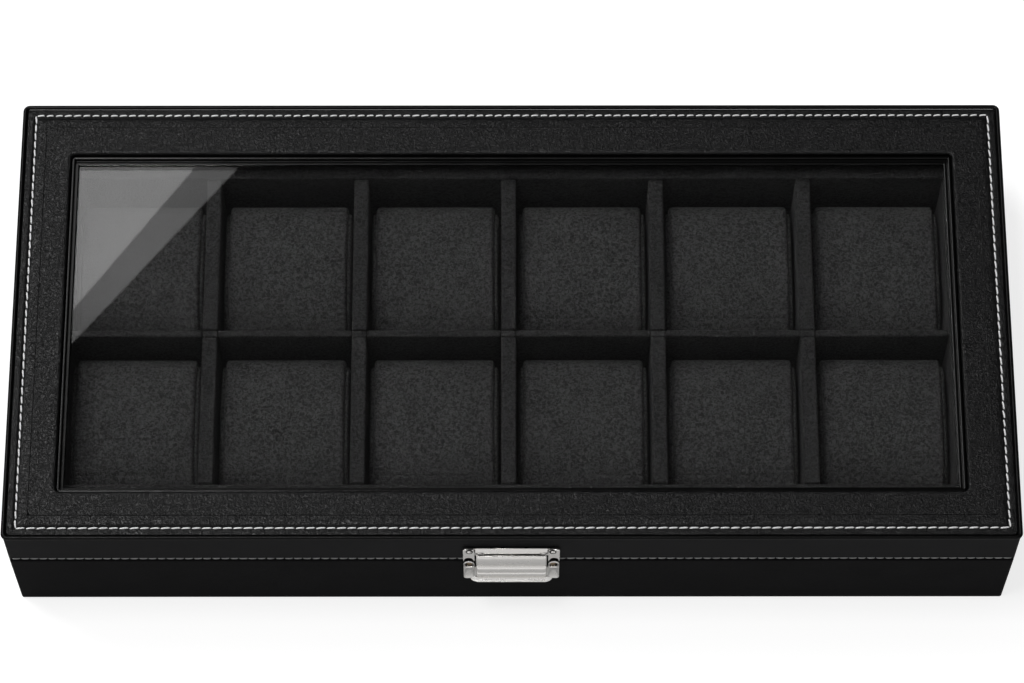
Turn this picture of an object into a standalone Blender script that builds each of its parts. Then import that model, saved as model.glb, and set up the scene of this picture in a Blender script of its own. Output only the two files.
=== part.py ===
"""Black twelve-place watch display box, closed, as an assembly of its separate pieces.

Metres, +Z up, front towards -Y. The box stands on z = 0 and is centred on x = 0, y = 0.
"""

import math

import bmesh
import bpy
from mathutils import Vector

# Overall size
BOX_WIDTH = 0.3800
BOX_DEPTH = 0.1812
BOX_HEIGHT = 0.0630
LID_HEIGHT = 0.0246
SEAM_GAP = 0.0006
PIECE_GAP = 0.0003

# Covered boards
PIPING_OVERHANG = 0.0011
PIPING_RADIUS = 0.0011
LEATHER_THICKNESS = 0.0009
LEATHER_CORNER_RADIUS = 0.0026
LEATHER_EDGE_RADIUS = 0.0007
TURN_IN_WIDTH = 0.0092
BOARD_THICKNESS = 0.0086
BOARD_EDGE_RADIUS = 0.0010
BOTTOM_LIFT = 0.0004
BOTTOM_BOARD_THICKNESS = 0.0040
FELT_THICKNESS = 0.0010
LINING_THICKNESS = 0.0008

# Insert with its compartments
INSERT_HEADROOM = 0.0043
INSERT_PLAY = 0.0018
INSERT_SHIFT_X = -0.0011
INSERT_SHIFT_Y = 0.0006
END_RAIL_WIDTH = 0.0084
LONG_RAIL_WIDTH = 0.01365
ROW_SPLIT_SHIFT = -0.0019
LONG_DIVIDER_THICKNESS = 0.0028
CROSS_DIVIDER_THICKNESS = 0.0057
COLUMNS = 6
INSERT_EDGE_RADIUS = 0.0006
LAP_CLEARANCE = 0.0003

# Pillows
PILLOW_SIDE_GAP = 0.000775
PILLOW_END_GAP = 0.001725
PILLOW_SINK = 0.0090
PILLOW_CROWN = 0.0018
PILLOW_SIDE_DRAW = 0.0012
PILLOW_CAP_STEP = 0.0016
PILLOW_ROUNDNESS = 4.2
PILLOW_WIDTH_SHARES = (-1.0, -0.9, 0.0, 0.9, 1.0)
PILLOW_DEPTH_SHARES = (-1.0, -0.62, 0.0, 0.62, 1.0)
PILLOW_HEIGHT_SHARES = (-1.0, -0.42, 0.42, 1.0)

# Lid
SIDE_BORDER = 0.0195
FRONT_BORDER = 0.01945
BACK_BORDER = 0.02105
WINDOW_CORNER_RADIUS = 0.0016
PAD_THICKNESS = 0.0027
PAD_EDGE_RADIUS = 0.0008
STITCH_INSET = 0.0042
STITCH_CHANNEL_WIDTH = 0.0010
STITCH_CHANNEL_DEPTH = 0.0004
TOP_BOARD_THICKNESS = 0.0044
LID_LINING_THICKNESS = 0.0010
LINING_LAP = 0.0025
TRIM_WIDTH = 0.0027
TRIM_STEP_WIDTH = 0.0014
TRIM_FLANGE_WIDTH = 0.0008
TRIM_FLANGE_THICKNESS = 0.0008
TRIM_HEIGHT = 0.0029
GLASS_THICKNESS = 0.0024
GLASS_RADIUS = 0.0012

# Hinges
HINGE_END_INSET = 0.0739
HINGE_LENGTH = 0.0380
HINGE_LEAF_HEIGHT = 0.0125
HINGE_LEAF_THICKNESS = 0.0008
KNUCKLE_RADIUS = 0.0016
KNUCKLE_BORE = 0.0010
HINGE_PIN_RADIUS = 0.00093
KNUCKLE_LENGTH_SHARE = 0.33
HINGE_PIN_OVERLENGTH = 0.0004
HINGE_HOLE_RADIUS = 0.0011
HINGE_HOLE_SHARE = 0.32

# Clasp
CLASP_SHEET = 0.0006
CLASP_WIDTH = 0.0368
CLASP_RISE = 0.0139
CLASP_EAR_WIDTH = 0.0044
CLASP_BAR_HEIGHT = 0.0070
CLASP_CORNER_RADIUS = 0.0008
EAR_NOTCH_SHARE = 0.30
EAR_ROUND_SHARE = 0.45
CATCH_DROP = 0.0168
CATCH_WEB_DROP = 0.0040
CATCH_BOSS_HEIGHT = 0.0009
CATCH_BOSS_INSET = 0.0003
CATCH_RIDGE_RADIUS = 0.0007
CATCH_RIDGE_LENGTH = 0.0120
CATCH_RIDGE_RISE = 0.0074
BARREL_RADIUS = 0.0011
BARREL_BORE = 0.0007
BARREL_DROP = 0.0015
BARREL_LUG_LENGTH = 0.0016
LATCH_PIN_RADIUS = 0.00063
FLAP_SIDE_GAP = 0.0004
FLAP_RISE = 0.0030
FLAP_BULGE = 0.0005
FLAP_DROP_SHARES = (0.0, 0.10, 0.28, 0.44, 0.46, 0.56, 0.67, 0.69, 0.85, 1.0)
FLAP_BULGE_SHARES = (0.0, 0.0, 1.0, 0.0, -0.6, 0.0, -0.6, -1.2, -0.6, 0.6)
TAB_OVERHANG = 0.0027
TAB_REACH = 0.0020
TAB_CORNER_LENGTH = 0.0036
SCREW_HEAD_RADIUS = 0.0015
SCREW_HEAD_HEIGHT = 0.0006
SCREW_DOME = 0.0003
SCREW_SHANK_RADIUS = 0.0006
SCREW_SHANK_LENGTH = 0.0060
SCREW_HOLE_RADIUS = 0.0010
SCREW_SLOT_WIDTH = 0.0004
SCREW_SLOT_DEPTH = 0.0003
SUNK_HEAD_RADIUS = 0.0011
SUNK_HEAD_CLEARANCE = 0.00025
SUNK_FLOOR = 0.0005
LATCH_SCREW_DROP = 0.0025
CATCH_SCREW_DROP = 0.0028

# Fineness
CORNER_STEPS = 5
ROUND_SIDES = 20
SCREW_SIDES = 16
WELD_DISTANCE = 0.000001
CUTTER_LENGTH = 0.0200
SHARP_ANGLE = math.radians(50)

# Colours
LEATHER_COLOUR = (0.012, 0.012, 0.013, 1.0)
BEAD_COLOUR = (0.016, 0.016, 0.017, 1.0)
BOARD_COLOUR = (0.300, 0.220, 0.150, 1.0)
SUEDE_COLOUR = (0.018, 0.018, 0.019, 1.0)
PILLOW_COLOUR = (0.026, 0.026, 0.028, 1.0)
FELT_COLOUR = (0.015, 0.015, 0.016, 1.0)
TRIM_COLOUR = (0.006, 0.006, 0.006, 1.0)
GLASS_COLOUR = (0.900, 0.930, 0.930, 1.0)
NICKEL_COLOUR = (0.620, 0.600, 0.570, 1.0)
STEEL_COLOUR = (0.450, 0.440, 0.430, 1.0)
BRASS_COLOUR = (0.200, 0.150, 0.100, 1.0)

# Derived positions, from the outside in and from the table up
SEAM_HEIGHT = BOX_HEIGHT - LID_HEIGHT
BODY_WIDTH = BOX_WIDTH - 2 * PIPING_OVERHANG
BODY_DEPTH = BOX_DEPTH - 2 * PIPING_OVERHANG
BOARD_OUTER_WIDTH = BODY_WIDTH - 2 * (LEATHER_THICKNESS + PIECE_GAP)
BOARD_OUTER_DEPTH = BODY_DEPTH - 2 * (LEATHER_THICKNESS + PIECE_GAP)
BOARD_INNER_WIDTH = BOARD_OUTER_WIDTH - 2 * BOARD_THICKNESS
BOARD_INNER_DEPTH = BOARD_OUTER_DEPTH - 2 * BOARD_THICKNESS
BASE_TOP = SEAM_HEIGHT - SEAM_GAP / 2
LID_BOTTOM = SEAM_HEIGHT + SEAM_GAP / 2
BASE_BOARD_BOTTOM = BOTTOM_LIFT + LEATHER_THICKNESS + PIECE_GAP
BASE_BOARD_TOP = BASE_TOP - LEATHER_THICKNESS - PIECE_GAP
LINING_BOTTOM = BASE_BOARD_BOTTOM + BOTTOM_BOARD_THICKNESS + PIECE_GAP
FLOOR_TOP = LINING_BOTTOM + LINING_THICKNESS
INSERT_BOTTOM = FLOOR_TOP + PIECE_GAP
PAD_BOTTOM = BOX_HEIGHT - PAD_THICKNESS
LID_WRAP_TOP = PAD_BOTTOM - PIECE_GAP
TOP_BOARD_BOTTOM = LID_WRAP_TOP - TOP_BOARD_THICKNESS
RAIL_TOP = TOP_BOARD_BOTTOM - PIECE_GAP
RAIL_BOTTOM = LID_BOTTOM + LEATHER_THICKNESS + PIECE_GAP
LID_LINING_BOTTOM = RAIL_TOP - LID_LINING_THICKNESS
GLASS_BOTTOM = TOP_BOARD_BOTTOM
GLASS_TOP = GLASS_BOTTOM + GLASS_THICKNESS
TRIM_BOTTOM = GLASS_TOP + PIECE_GAP

# The window in the lid
WINDOW_WIDTH = BOX_WIDTH - 2 * SIDE_BORDER
WINDOW_DEPTH = BOX_DEPTH - FRONT_BORDER - BACK_BORDER
WINDOW_SHIFT_Y = (FRONT_BORDER - BACK_BORDER) / 2
OPENING_WIDTH = WINDOW_WIDTH - 2 * TRIM_WIDTH
OPENING_DEPTH = WINDOW_DEPTH - 2 * TRIM_WIDTH
REBATE_WIDTH = WINDOW_WIDTH + 2 * (TRIM_FLANGE_WIDTH + PIECE_GAP)
REBATE_DEPTH = WINDOW_DEPTH + 2 * (TRIM_FLANGE_WIDTH + PIECE_GAP)

# The insert, its grid and what lies in it
INSERT_TOP = LID_LINING_BOTTOM - INSERT_HEADROOM
INSERT_OUTER_WIDTH = BOARD_INNER_WIDTH - 2 * INSERT_PLAY
INSERT_OUTER_DEPTH = BOARD_INNER_DEPTH - 2 * INSERT_PLAY
INSERT_INNER_WIDTH = INSERT_OUTER_WIDTH - 2 * END_RAIL_WIDTH
INSERT_INNER_DEPTH = INSERT_OUTER_DEPTH - 2 * LONG_RAIL_WIDTH
DIVIDER_HEIGHT = INSERT_TOP - INSERT_BOTTOM
DIVIDER_MIDDLE = (INSERT_TOP + INSERT_BOTTOM) / 2
ROW_SPLIT_Y = INSERT_SHIFT_Y + ROW_SPLIT_SHIFT
COLUMN_WIDTH = (INSERT_INNER_WIDTH - (COLUMNS - 1) * CROSS_DIVIDER_THICKNESS) / COLUMNS
COLUMN_PITCH = COLUMN_WIDTH + CROSS_DIVIDER_THICKNESS
FRONT_ROW_NEAR = INSERT_SHIFT_Y - INSERT_INNER_DEPTH / 2
FRONT_ROW_FAR = ROW_SPLIT_Y - LONG_DIVIDER_THICKNESS / 2
BACK_ROW_NEAR = ROW_SPLIT_Y + LONG_DIVIDER_THICKNESS / 2
BACK_ROW_FAR = INSERT_SHIFT_Y + INSERT_INNER_DEPTH / 2
PILLOW_WIDTH = COLUMN_WIDTH - 2 * PILLOW_SIDE_GAP
PILLOW_DEPTH = FRONT_ROW_FAR - FRONT_ROW_NEAR - 2 * PILLOW_END_GAP
PILLOW_HEIGHT = INSERT_TOP - PILLOW_SINK - INSERT_BOTTOM

# Hinges and clasp
BACK_FACE = BODY_DEPTH / 2
FRONT_FACE = -BODY_DEPTH / 2
HINGE_AXIS_Y = BACK_FACE + PIECE_GAP + KNUCKLE_RADIUS
HINGE_X = BODY_WIDTH / 2 - HINGE_END_INSET
PLATE_BACK = FRONT_FACE - PIECE_GAP
PLATE_FRONT = PLATE_BACK - CLASP_SHEET
CLASP_TOP = SEAM_HEIGHT + CLASP_RISE
CATCH_BOTTOM = SEAM_HEIGHT - CATCH_DROP
CATCH_RIDGE_HEIGHT = CATCH_BOTTOM + CATCH_RIDGE_RISE
BARREL_AXIS_Y = PLATE_FRONT - PIECE_GAP - BARREL_RADIUS
BARREL_HEIGHT = CLASP_TOP - BARREL_DROP
FLAP_WIDTH = CLASP_WIDTH - 2 * (CLASP_EAR_WIDTH + FLAP_SIDE_GAP)
FLAP_BOTTOM = CATCH_BOTTOM + FLAP_RISE
TAB_WIDTH = FLAP_WIDTH + 2 * TAB_OVERHANG


def clear_scene():
    for obj in list(bpy.data.objects):
        bpy.data.objects.remove(obj, do_unlink=True)
    for mesh in list(bpy.data.meshes):
        bpy.data.meshes.remove(mesh)


def new_collection(name):
    collection = bpy.data.collections.new(name)
    bpy.context.scene.collection.children.link(collection)
    return collection


def plain_material(name, colour, roughness, metallic=0.0):
    material = bpy.data.materials.new(name)
    material.use_nodes = True
    material.diffuse_color = colour
    shader = material.node_tree.nodes["Principled BSDF"]
    shader.inputs["Base Color"].default_value = colour
    shader.inputs["Roughness"].default_value = roughness
    shader.inputs["Metallic"].default_value = metallic
    return material


def glass_material(name, colour, roughness):
    material = plain_material(name, colour, roughness)
    shader = material.node_tree.nodes["Principled BSDF"]
    shader.inputs["Transmission Weight"].default_value = 1.0
    return material


clear_scene()
parts = new_collection("watch_display_box")
helpers = new_collection("cutters")
helpers.hide_render = True

leather = plain_material("black_leatherette", LEATHER_COLOUR, 0.42)
bead_leather = plain_material("black_bead_leatherette", BEAD_COLOUR, 0.35)
board_wood = plain_material("fibreboard", BOARD_COLOUR, 0.80)
suede = plain_material("black_suede", SUEDE_COLOUR, 0.90)
pillow_suede = plain_material("charcoal_suede", PILLOW_COLOUR, 0.90)
felt = plain_material("black_felt", FELT_COLOUR, 0.95)
trim_black = plain_material("gloss_black_trim", TRIM_COLOUR, 0.20)
clear_glass = glass_material("clear_glass", GLASS_COLOUR, 0.02)
nickel = plain_material("satin_nickel", NICKEL_COLOUR, 0.28, 1.0)
pin_steel = plain_material("pin_steel", STEEL_COLOUR, 0.35, 1.0)
dark_brass = plain_material("dark_brass", BRASS_COLOUR, 0.45, 1.0)


def new_object(name, mesh, centre):
    obj = bpy.data.objects.new(name, mesh)
    obj.location = centre
    parts.objects.link(obj)
    return obj


def as_helper(obj):
    parts.objects.unlink(obj)
    helpers.objects.link(obj)
    obj.hide_render = True
    obj.display_type = "WIRE"
    return obj


def block(name, size, centre):
    mesh = bpy.data.meshes.new(name)
    shape = bmesh.new()
    bmesh.ops.create_cube(shape, size=1.0)
    bmesh.ops.scale(shape, vec=size, verts=shape.verts)
    shape.to_mesh(mesh)
    shape.free()
    return new_object(name, mesh, centre)


def rod(name, radius, length, centre, turn=(0.0, 0.0, 0.0), sides=ROUND_SIDES):
    mesh = bpy.data.meshes.new(name)
    shape = bmesh.new()
    bmesh.ops.create_cone(
        shape, cap_ends=True, segments=sides, radius1=radius, radius2=radius, depth=length
    )
    shape.to_mesh(mesh)
    shape.free()
    obj = new_object(name, mesh, centre)
    obj.rotation_euler = turn
    return obj


ALONG_X = (0.0, math.radians(90), 0.0)
ALONG_Y = (math.radians(90), 0.0, 0.0)
FACING_FRONT = (math.radians(90), 0.0, 0.0)
PROFILE_ALONG_X = (math.radians(90), 0.0, math.radians(90))


def rounded_outline(width, depth, radius, steps=CORNER_STEPS):
    """Points of a rectangle with rounded corners, anticlockwise from the right-hand back corner."""
    points = []
    signs = ((1, 1), (-1, 1), (-1, -1), (1, -1))
    for corner, (sign_x, sign_y) in enumerate(signs):
        centre_x = sign_x * (width / 2 - radius)
        centre_y = sign_y * (depth / 2 - radius)
        for step in range(steps + 1):
            angle = math.radians(90) * (corner + step / steps)
            x = centre_x + radius * math.cos(angle)
            y = centre_y + radius * math.sin(angle)
            points.append((x, y))
    return points


def flat_piece(name, outlines, thickness, centre, turn=(0.0, 0.0, 0.0)):
    """A flat outline, with any holes, as a filled 2D curve made into a closed mesh."""
    curve = bpy.data.curves.new(name + "_outline", "CURVE")
    curve.dimensions = "2D"
    curve.fill_mode = "BOTH"
    curve.extrude = thickness / 2
    for outline in outlines:
        spline = curve.splines.new("POLY")
        spline.points.add(len(outline) - 1)
        for point, (x, y) in zip(spline.points, outline):
            point.co = (x, y, 0.0, 1.0)
        spline.use_cyclic_u = True
    guide = bpy.data.objects.new(name + "_outline", curve)
    mesh = bpy.data.meshes.new_from_object(guide)
    mesh.name = name
    bpy.data.objects.remove(guide)
    shape = bmesh.new()
    shape.from_mesh(mesh)
    bmesh.ops.remove_doubles(shape, verts=shape.verts, dist=WELD_DISTANCE)
    bmesh.ops.recalc_face_normals(shape, faces=shape.faces)
    shape.to_mesh(mesh)
    shape.free()
    obj = new_object(name, mesh, centre)
    obj.rotation_euler = turn
    return obj


def round_corners(points, radii, steps=CORNER_STEPS):
    """Replaces each corner of an outline by an arc of its own radius."""
    rounded = []
    for index, (point, radius) in enumerate(zip(points, radii)):
        corner = Vector(point)
        to_last = (Vector(points[index - 1]) - corner).normalized()
        to_next = (Vector(points[(index + 1) % len(points)]) - corner).normalized()
        half_angle = to_last.angle(to_next) / 2
        reach = radius / math.tan(half_angle)
        centre = corner + (to_last + to_next).normalized() * radius / math.sin(half_angle)
        start = corner + to_last * reach - centre
        end = corner + to_next * reach - centre
        for step in range(steps + 1):
            spoke = start.lerp(end, step / steps).normalized() * radius
            rounded.append(tuple(centre + spoke))
    return rounded


def ring(name, outer, inner, bottom, top, shift_y=0.0, inner_shift_y=0.0):
    """A flat frame: outer and inner are each width, depth and corner radius."""
    hole = [(x, y + inner_shift_y) for x, y in rounded_outline(*inner)]
    outlines = [rounded_outline(*outer), hole]
    middle = (bottom + top) / 2
    return flat_piece(name, outlines, top - bottom, (0.0, shift_y, middle))


def round_edges(obj, radius, segments=2, angle=SHARP_ANGLE):
    modifier = obj.modifiers.new("rounded_edges", "BEVEL")
    modifier.width = radius
    modifier.segments = segments
    modifier.limit_method = "ANGLE"
    modifier.angle_limit = angle
    return obj


def combine(obj, other, operation):
    modifier = obj.modifiers.new(other.name, "BOOLEAN")
    modifier.operation = operation
    modifier.solver = "EXACT"
    modifier.object = other
    return obj


def cut(obj, *cutters):
    for cutter in cutters:
        combine(obj, cutter, "DIFFERENCE")
    return obj


def join(obj, *others):
    for other in others:
        combine(obj, as_helper(other), "UNION")
    return obj


def dress(obj, material, smooth=False):
    obj.data.materials.clear()
    obj.data.materials.append(material)
    if smooth:
        obj.data.polygons.foreach_set("use_smooth", [True] * len(obj.data.polygons))
        obj.data.update()
    return obj


def axis_empty(name, location, parent=None):
    empty = bpy.data.objects.new(name, None)
    empty.empty_display_size = BOX_HEIGHT
    parts.objects.link(empty)
    attach(empty, location, parent)
    return empty


def world_place(obj):
    place = Vector(obj.location)
    while obj.parent:
        obj = obj.parent
        place += obj.location
    return place


def attach(obj, location, parent):
    """Gives obj a place in the world and makes it follow parent."""
    obj.parent = parent
    held = world_place(parent) if parent else Vector((0.0, 0.0, 0.0))
    obj.location = Vector(location) - held


def carry(objects, parent):
    for obj in objects:
        attach(obj, Vector(obj.location), parent)


# Screws and the holes they stand in

def screw_hole(name, x, z, radius=SCREW_HOLE_RADIUS):
    centre = (x, PLATE_FRONT, z)
    return as_helper(rod(name, radius, CUTTER_LENGTH, centre, ALONG_Y, SCREW_SIDES))


def counterbore(name, x, z, floor_y):
    """Seat for a sunk head, open towards -Y."""
    radius = SUNK_HEAD_RADIUS + SUNK_HEAD_CLEARANCE
    centre = (x, floor_y - CUTTER_LENGTH / 2, z)
    return as_helper(rod(name, radius, CUTTER_LENGTH, centre, ALONG_Y, SCREW_SIDES))


def screw(name, x, z, seat_y, head_radius, material):
    """A domed slotted head with its shank, driven towards +Y."""
    head_y = seat_y - SCREW_HEAD_HEIGHT / 2
    head = rod(name, head_radius, SCREW_HEAD_HEIGHT, (x, head_y, z), ALONG_Y, SCREW_SIDES)
    round_edges(head, SCREW_DOME)
    overlap = SCREW_HEAD_HEIGHT / 2
    shank_y = seat_y - overlap + SCREW_SHANK_LENGTH / 2
    shank = rod(
        name + "_shank", SCREW_SHANK_RADIUS, SCREW_SHANK_LENGTH, (x, shank_y, z), ALONG_Y, SCREW_SIDES
    )
    join(head, shank)
    slot_y = seat_y - SCREW_HEAD_HEIGHT
    slot_size = (4 * head_radius, 2 * SCREW_SLOT_DEPTH, SCREW_SLOT_WIDTH)
    slot = as_helper(block(name + "_slot", slot_size, (x, slot_y, z)))
    cut(head, slot)
    return dress(head, material)


SCREW_X = CLASP_WIDTH / 2 - CLASP_EAR_WIDTH / 2 - PIECE_GAP
LATCH_SCREW_Z = CLASP_TOP - LATCH_SCREW_DROP
CATCH_SCREW_Z = BASE_TOP - CATCH_SCREW_DROP
latch_holes = [screw_hole("latch_hole_left", -SCREW_X, LATCH_SCREW_Z)]
latch_holes.append(screw_hole("latch_hole_right", SCREW_X, LATCH_SCREW_Z))
catch_holes = [screw_hole("catch_hole_left", -SCREW_X, CATCH_SCREW_Z)]
catch_holes.append(screw_hole("catch_hole_right", SCREW_X, CATCH_SCREW_Z))


# Boards: front and back run the whole width, and the sides stand between them

def board(name, size, centre, material=board_wood, edge=BOARD_EDGE_RADIUS):
    return dress(round_edges(block(name, size, centre), edge), material)


def four_walls(prefix, outer, thicknesses, bottom, top, shift, material, edge):
    """Front, back, left and right walls of a frame whose outer size is (width, depth)."""
    end_thickness, long_thickness = thicknesses
    height = top - bottom
    middle = (bottom + top) / 2
    y = (outer[1] - long_thickness) / 2
    x = (outer[0] - end_thickness) / 2
    side_length = outer[1] - 2 * (long_thickness + PIECE_GAP)
    long_size = (outer[0], long_thickness, height)
    side_size = (end_thickness, side_length, height)
    places = {
        "front": (long_size, (shift[0], shift[1] - y, middle)),
        "back": (long_size, (shift[0], shift[1] + y, middle)),
        "left": (side_size, (shift[0] - x, shift[1], middle)),
        "right": (side_size, (shift[0] + x, shift[1], middle)),
    }
    return {
        side: board(f"{prefix}_{side}", size, centre, material, edge)
        for side, (size, centre) in places.items()
    }


# Base

def leather_wrap(name, bottom, top, closed_top):
    """Covering round the outside, turned in over the board edges as a channel."""
    outer = (BODY_WIDTH, BODY_DEPTH, LEATHER_CORNER_RADIUS)
    middle = (bottom + top) / 2
    wrap = flat_piece(name, [rounded_outline(*outer)], top - bottom, (0.0, 0.0, middle))
    round_edges(wrap, LEATHER_EDGE_RADIUS)
    inner_size = (BODY_WIDTH - 2 * LEATHER_THICKNESS, BODY_DEPTH - 2 * LEATHER_THICKNESS)
    inner_radius = LEATHER_CORNER_RADIUS - LEATHER_THICKNESS
    cavity_bottom = bottom + LEATHER_THICKNESS
    cavity_top = top - LEATHER_THICKNESS if closed_top else top + LEATHER_THICKNESS
    cavity = flat_piece(
        name + "_cavity",
        [rounded_outline(*inner_size, inner_radius)],
        cavity_top - cavity_bottom,
        (0.0, 0.0, (cavity_bottom + cavity_top) / 2),
    )
    through_size = (BODY_WIDTH - 2 * TURN_IN_WIDTH, BODY_DEPTH - 2 * TURN_IN_WIDTH)
    through = flat_piece(
        name + "_through",
        [rounded_outline(*through_size, inner_radius)],
        top - bottom + CUTTER_LENGTH,
        (0.0, 0.0, middle),
    )
    cut(wrap, as_helper(cavity), as_helper(through))
    return dress(wrap, leather)


base_size = (BOARD_OUTER_WIDTH, BOARD_OUTER_DEPTH)
board_pair = (BOARD_THICKNESS, BOARD_THICKNESS)
base_walls = four_walls(
    "base_board",
    base_size,
    board_pair,
    BASE_BOARD_BOTTOM,
    BASE_BOARD_TOP,
    (0.0, 0.0),
    board_wood,
    BOARD_EDGE_RADIUS,
)
cut(base_walls["front"], *catch_holes)

bottom_size = (
    BOARD_INNER_WIDTH - 2 * PIECE_GAP,
    BOARD_INNER_DEPTH - 2 * PIECE_GAP,
    BOTTOM_BOARD_THICKNESS,
)
bottom_centre = (0.0, 0.0, BASE_BOARD_BOTTOM + BOTTOM_BOARD_THICKNESS / 2)
board("base_board_bottom", bottom_size, bottom_centre)

lining_size = (bottom_size[0], bottom_size[1], LINING_THICKNESS)
lining = block("base_lining", lining_size, (0.0, 0.0, LINING_BOTTOM + LINING_THICKNESS / 2))
dress(lining, suede)

base_wrap = leather_wrap("base_wrap", BOTTOM_LIFT, BASE_TOP, True)
cut(base_wrap, *catch_holes)

felt_inset = TURN_IN_WIDTH + PIECE_GAP
felt_size = (BODY_WIDTH - 2 * felt_inset, BODY_DEPTH - 2 * felt_inset)
felt_outline = rounded_outline(*felt_size, LEATHER_CORNER_RADIUS)
felt_sheet = flat_piece(
    "base_felt", [felt_outline], FELT_THICKNESS, (0.0, 0.0, FELT_THICKNESS / 2)
)
dress(felt_sheet, felt)


# Insert: four rails round the compartments, one long divider and five cross dividers

insert_shift = (INSERT_SHIFT_X, INSERT_SHIFT_Y)
insert_outer = (INSERT_OUTER_WIDTH, INSERT_OUTER_DEPTH)
four_walls(
    "insert_rail",
    insert_outer,
    (END_RAIL_WIDTH, LONG_RAIL_WIDTH),
    INSERT_BOTTOM,
    INSERT_TOP,
    insert_shift,
    suede,
    INSERT_EDGE_RADIUS,
)


def column_x(column):
    """Middle of a compartment, counted from the left."""
    return INSERT_SHIFT_X + (column - (COLUMNS - 1) / 2) * COLUMN_PITCH


def divider_x(number):
    """Middle of a cross divider, counted from the left."""
    return column_x(number) + COLUMN_PITCH / 2


def lap_cutter(name, x, thickness, depth, centre_z):
    size = (thickness + 2 * LAP_CLEARANCE, depth + 2 * LAP_CLEARANCE, DIVIDER_HEIGHT)
    return as_helper(block(name, size, (x, ROW_SPLIT_Y, centre_z)))


long_size = (INSERT_INNER_WIDTH - 2 * PIECE_GAP, LONG_DIVIDER_THICKNESS, DIVIDER_HEIGHT)
long_centre = (INSERT_SHIFT_X, ROW_SPLIT_Y, DIVIDER_MIDDLE)
long_divider = board("insert_divider_long", long_size, long_centre, suede, INSERT_EDGE_RADIUS)
cross_length = INSERT_INNER_DEPTH - 2 * PIECE_GAP
for number in range(COLUMNS - 1):
    at_x = divider_x(number)
    upper = lap_cutter(
        f"lap_upper_{number + 1}",
        at_x,
        CROSS_DIVIDER_THICKNESS,
        CROSS_DIVIDER_THICKNESS,
        DIVIDER_MIDDLE + DIVIDER_HEIGHT / 2 - LAP_CLEARANCE,
    )
    cut(long_divider, upper)
    cross = board(
        f"insert_divider_cross_{number + 1}",
        (CROSS_DIVIDER_THICKNESS, cross_length, DIVIDER_HEIGHT),
        (at_x, INSERT_SHIFT_Y, DIVIDER_MIDDLE),
        suede,
        INSERT_EDGE_RADIUS,
    )
    lower = lap_cutter(
        f"lap_lower_{number + 1}",
        at_x,
        2 * CROSS_DIVIDER_THICKNESS,
        LONG_DIVIDER_THICKNESS,
        DIVIDER_MIDDLE - DIVIDER_HEIGHT / 2 + LAP_CLEARANCE,
    )
    cut(cross, lower)


# Pillows: one soft form, shared by twelve objects

def softened(point):
    """Moves a cage point, in shares of the half size, on to a rounded, crowned pillow."""
    u, v, w = point
    level = max(abs(v), abs(w))
    power = PILLOW_ROUNDNESS
    spread = (abs(v) ** power + abs(w) ** power) ** (1 / power)
    if spread:
        v *= level / spread
        w *= level / spread
    end_share = max(0.0, (abs(u) - PILLOW_WIDTH_SHARES[3]) / (1.0 - PILLOW_WIDTH_SHARES[3]))
    y = v * (PILLOW_DEPTH / 2 - end_share * PILLOW_CAP_STEP)
    z = w * (PILLOW_HEIGHT / 2 - end_share * PILLOW_CAP_STEP)
    if w > 0.0:
        z += PILLOW_CROWN * w * (1.0 - u * u) * (1.0 - v * v)
    x = u * (PILLOW_WIDTH / 2 - PILLOW_SIDE_DRAW * (v * v + w * w) / 2)
    return x, y, z


def pillow_mesh():
    """A cube cut into a cage, softened, and brought to size after its subdivision."""
    shape = bmesh.new()
    bmesh.ops.create_cube(shape, size=2.0)
    for axis, shares in enumerate((PILLOW_WIDTH_SHARES, PILLOW_DEPTH_SHARES, PILLOW_HEIGHT_SHARES)):
        normal = Vector((0.0, 0.0, 0.0))
        normal[axis] = 1.0
        for share in shares[1:-1]:
            geometry = list(shape.verts) + list(shape.edges) + list(shape.faces)
            bmesh.ops.bisect_plane(shape, geom=geometry, plane_co=normal * share, plane_no=normal)
    for vert in shape.verts:
        vert.co = softened(vert.co)
    mesh = bpy.data.meshes.new("pillow")
    shape.to_mesh(mesh)
    shape.free()
    return mesh


def add_softness(obj):
    modifier = obj.modifiers.new("softness", "SUBSURF")
    modifier.levels = 1
    modifier.render_levels = 1


def fit_to_size(obj, size):
    """Scales the cage so that the subdivided form has this size and stands on its origin."""
    graph = bpy.context.evaluated_depsgraph_get()
    soft = bpy.data.meshes.new_from_object(obj.evaluated_get(graph))
    lows = [min(vert.co[axis] for vert in soft.vertices) for axis in range(3)]
    highs = [max(vert.co[axis] for vert in soft.vertices) for axis in range(3)]
    factors = [size[axis] / (highs[axis] - lows[axis]) for axis in range(3)]
    for vert in obj.data.vertices:
        for axis in range(3):
            base = lows[axis] if axis == 2 else (lows[axis] + highs[axis]) / 2
            vert.co[axis] = (vert.co[axis] - base) * factors[axis]
    bpy.data.meshes.remove(soft)


pillow_form = pillow_mesh()
row_edges = {
    "front": (FRONT_ROW_NEAR, FRONT_ROW_FAR),
    "back": (BACK_ROW_NEAR, BACK_ROW_FAR),
}
pillows = []
for row, (near, far) in row_edges.items():
    for column in range(COLUMNS):
        place = (column_x(column), (near + far) / 2, INSERT_BOTTOM)
        pillow = new_object(f"pillow_{row}_{column + 1}", pillow_form, place)
        add_softness(pillow)
        pillows.append(pillow)
bpy.context.view_layer.update()
fit_to_size(pillows[0], (PILLOW_WIDTH, PILLOW_DEPTH, PILLOW_HEIGHT))
dress(pillows[0], pillow_suede, smooth=True)


# Lid

lid_axis = axis_empty("lid_hinge_axis", (0.0, HINGE_AXIS_Y, SEAM_HEIGHT))
lid_pieces = []

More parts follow.
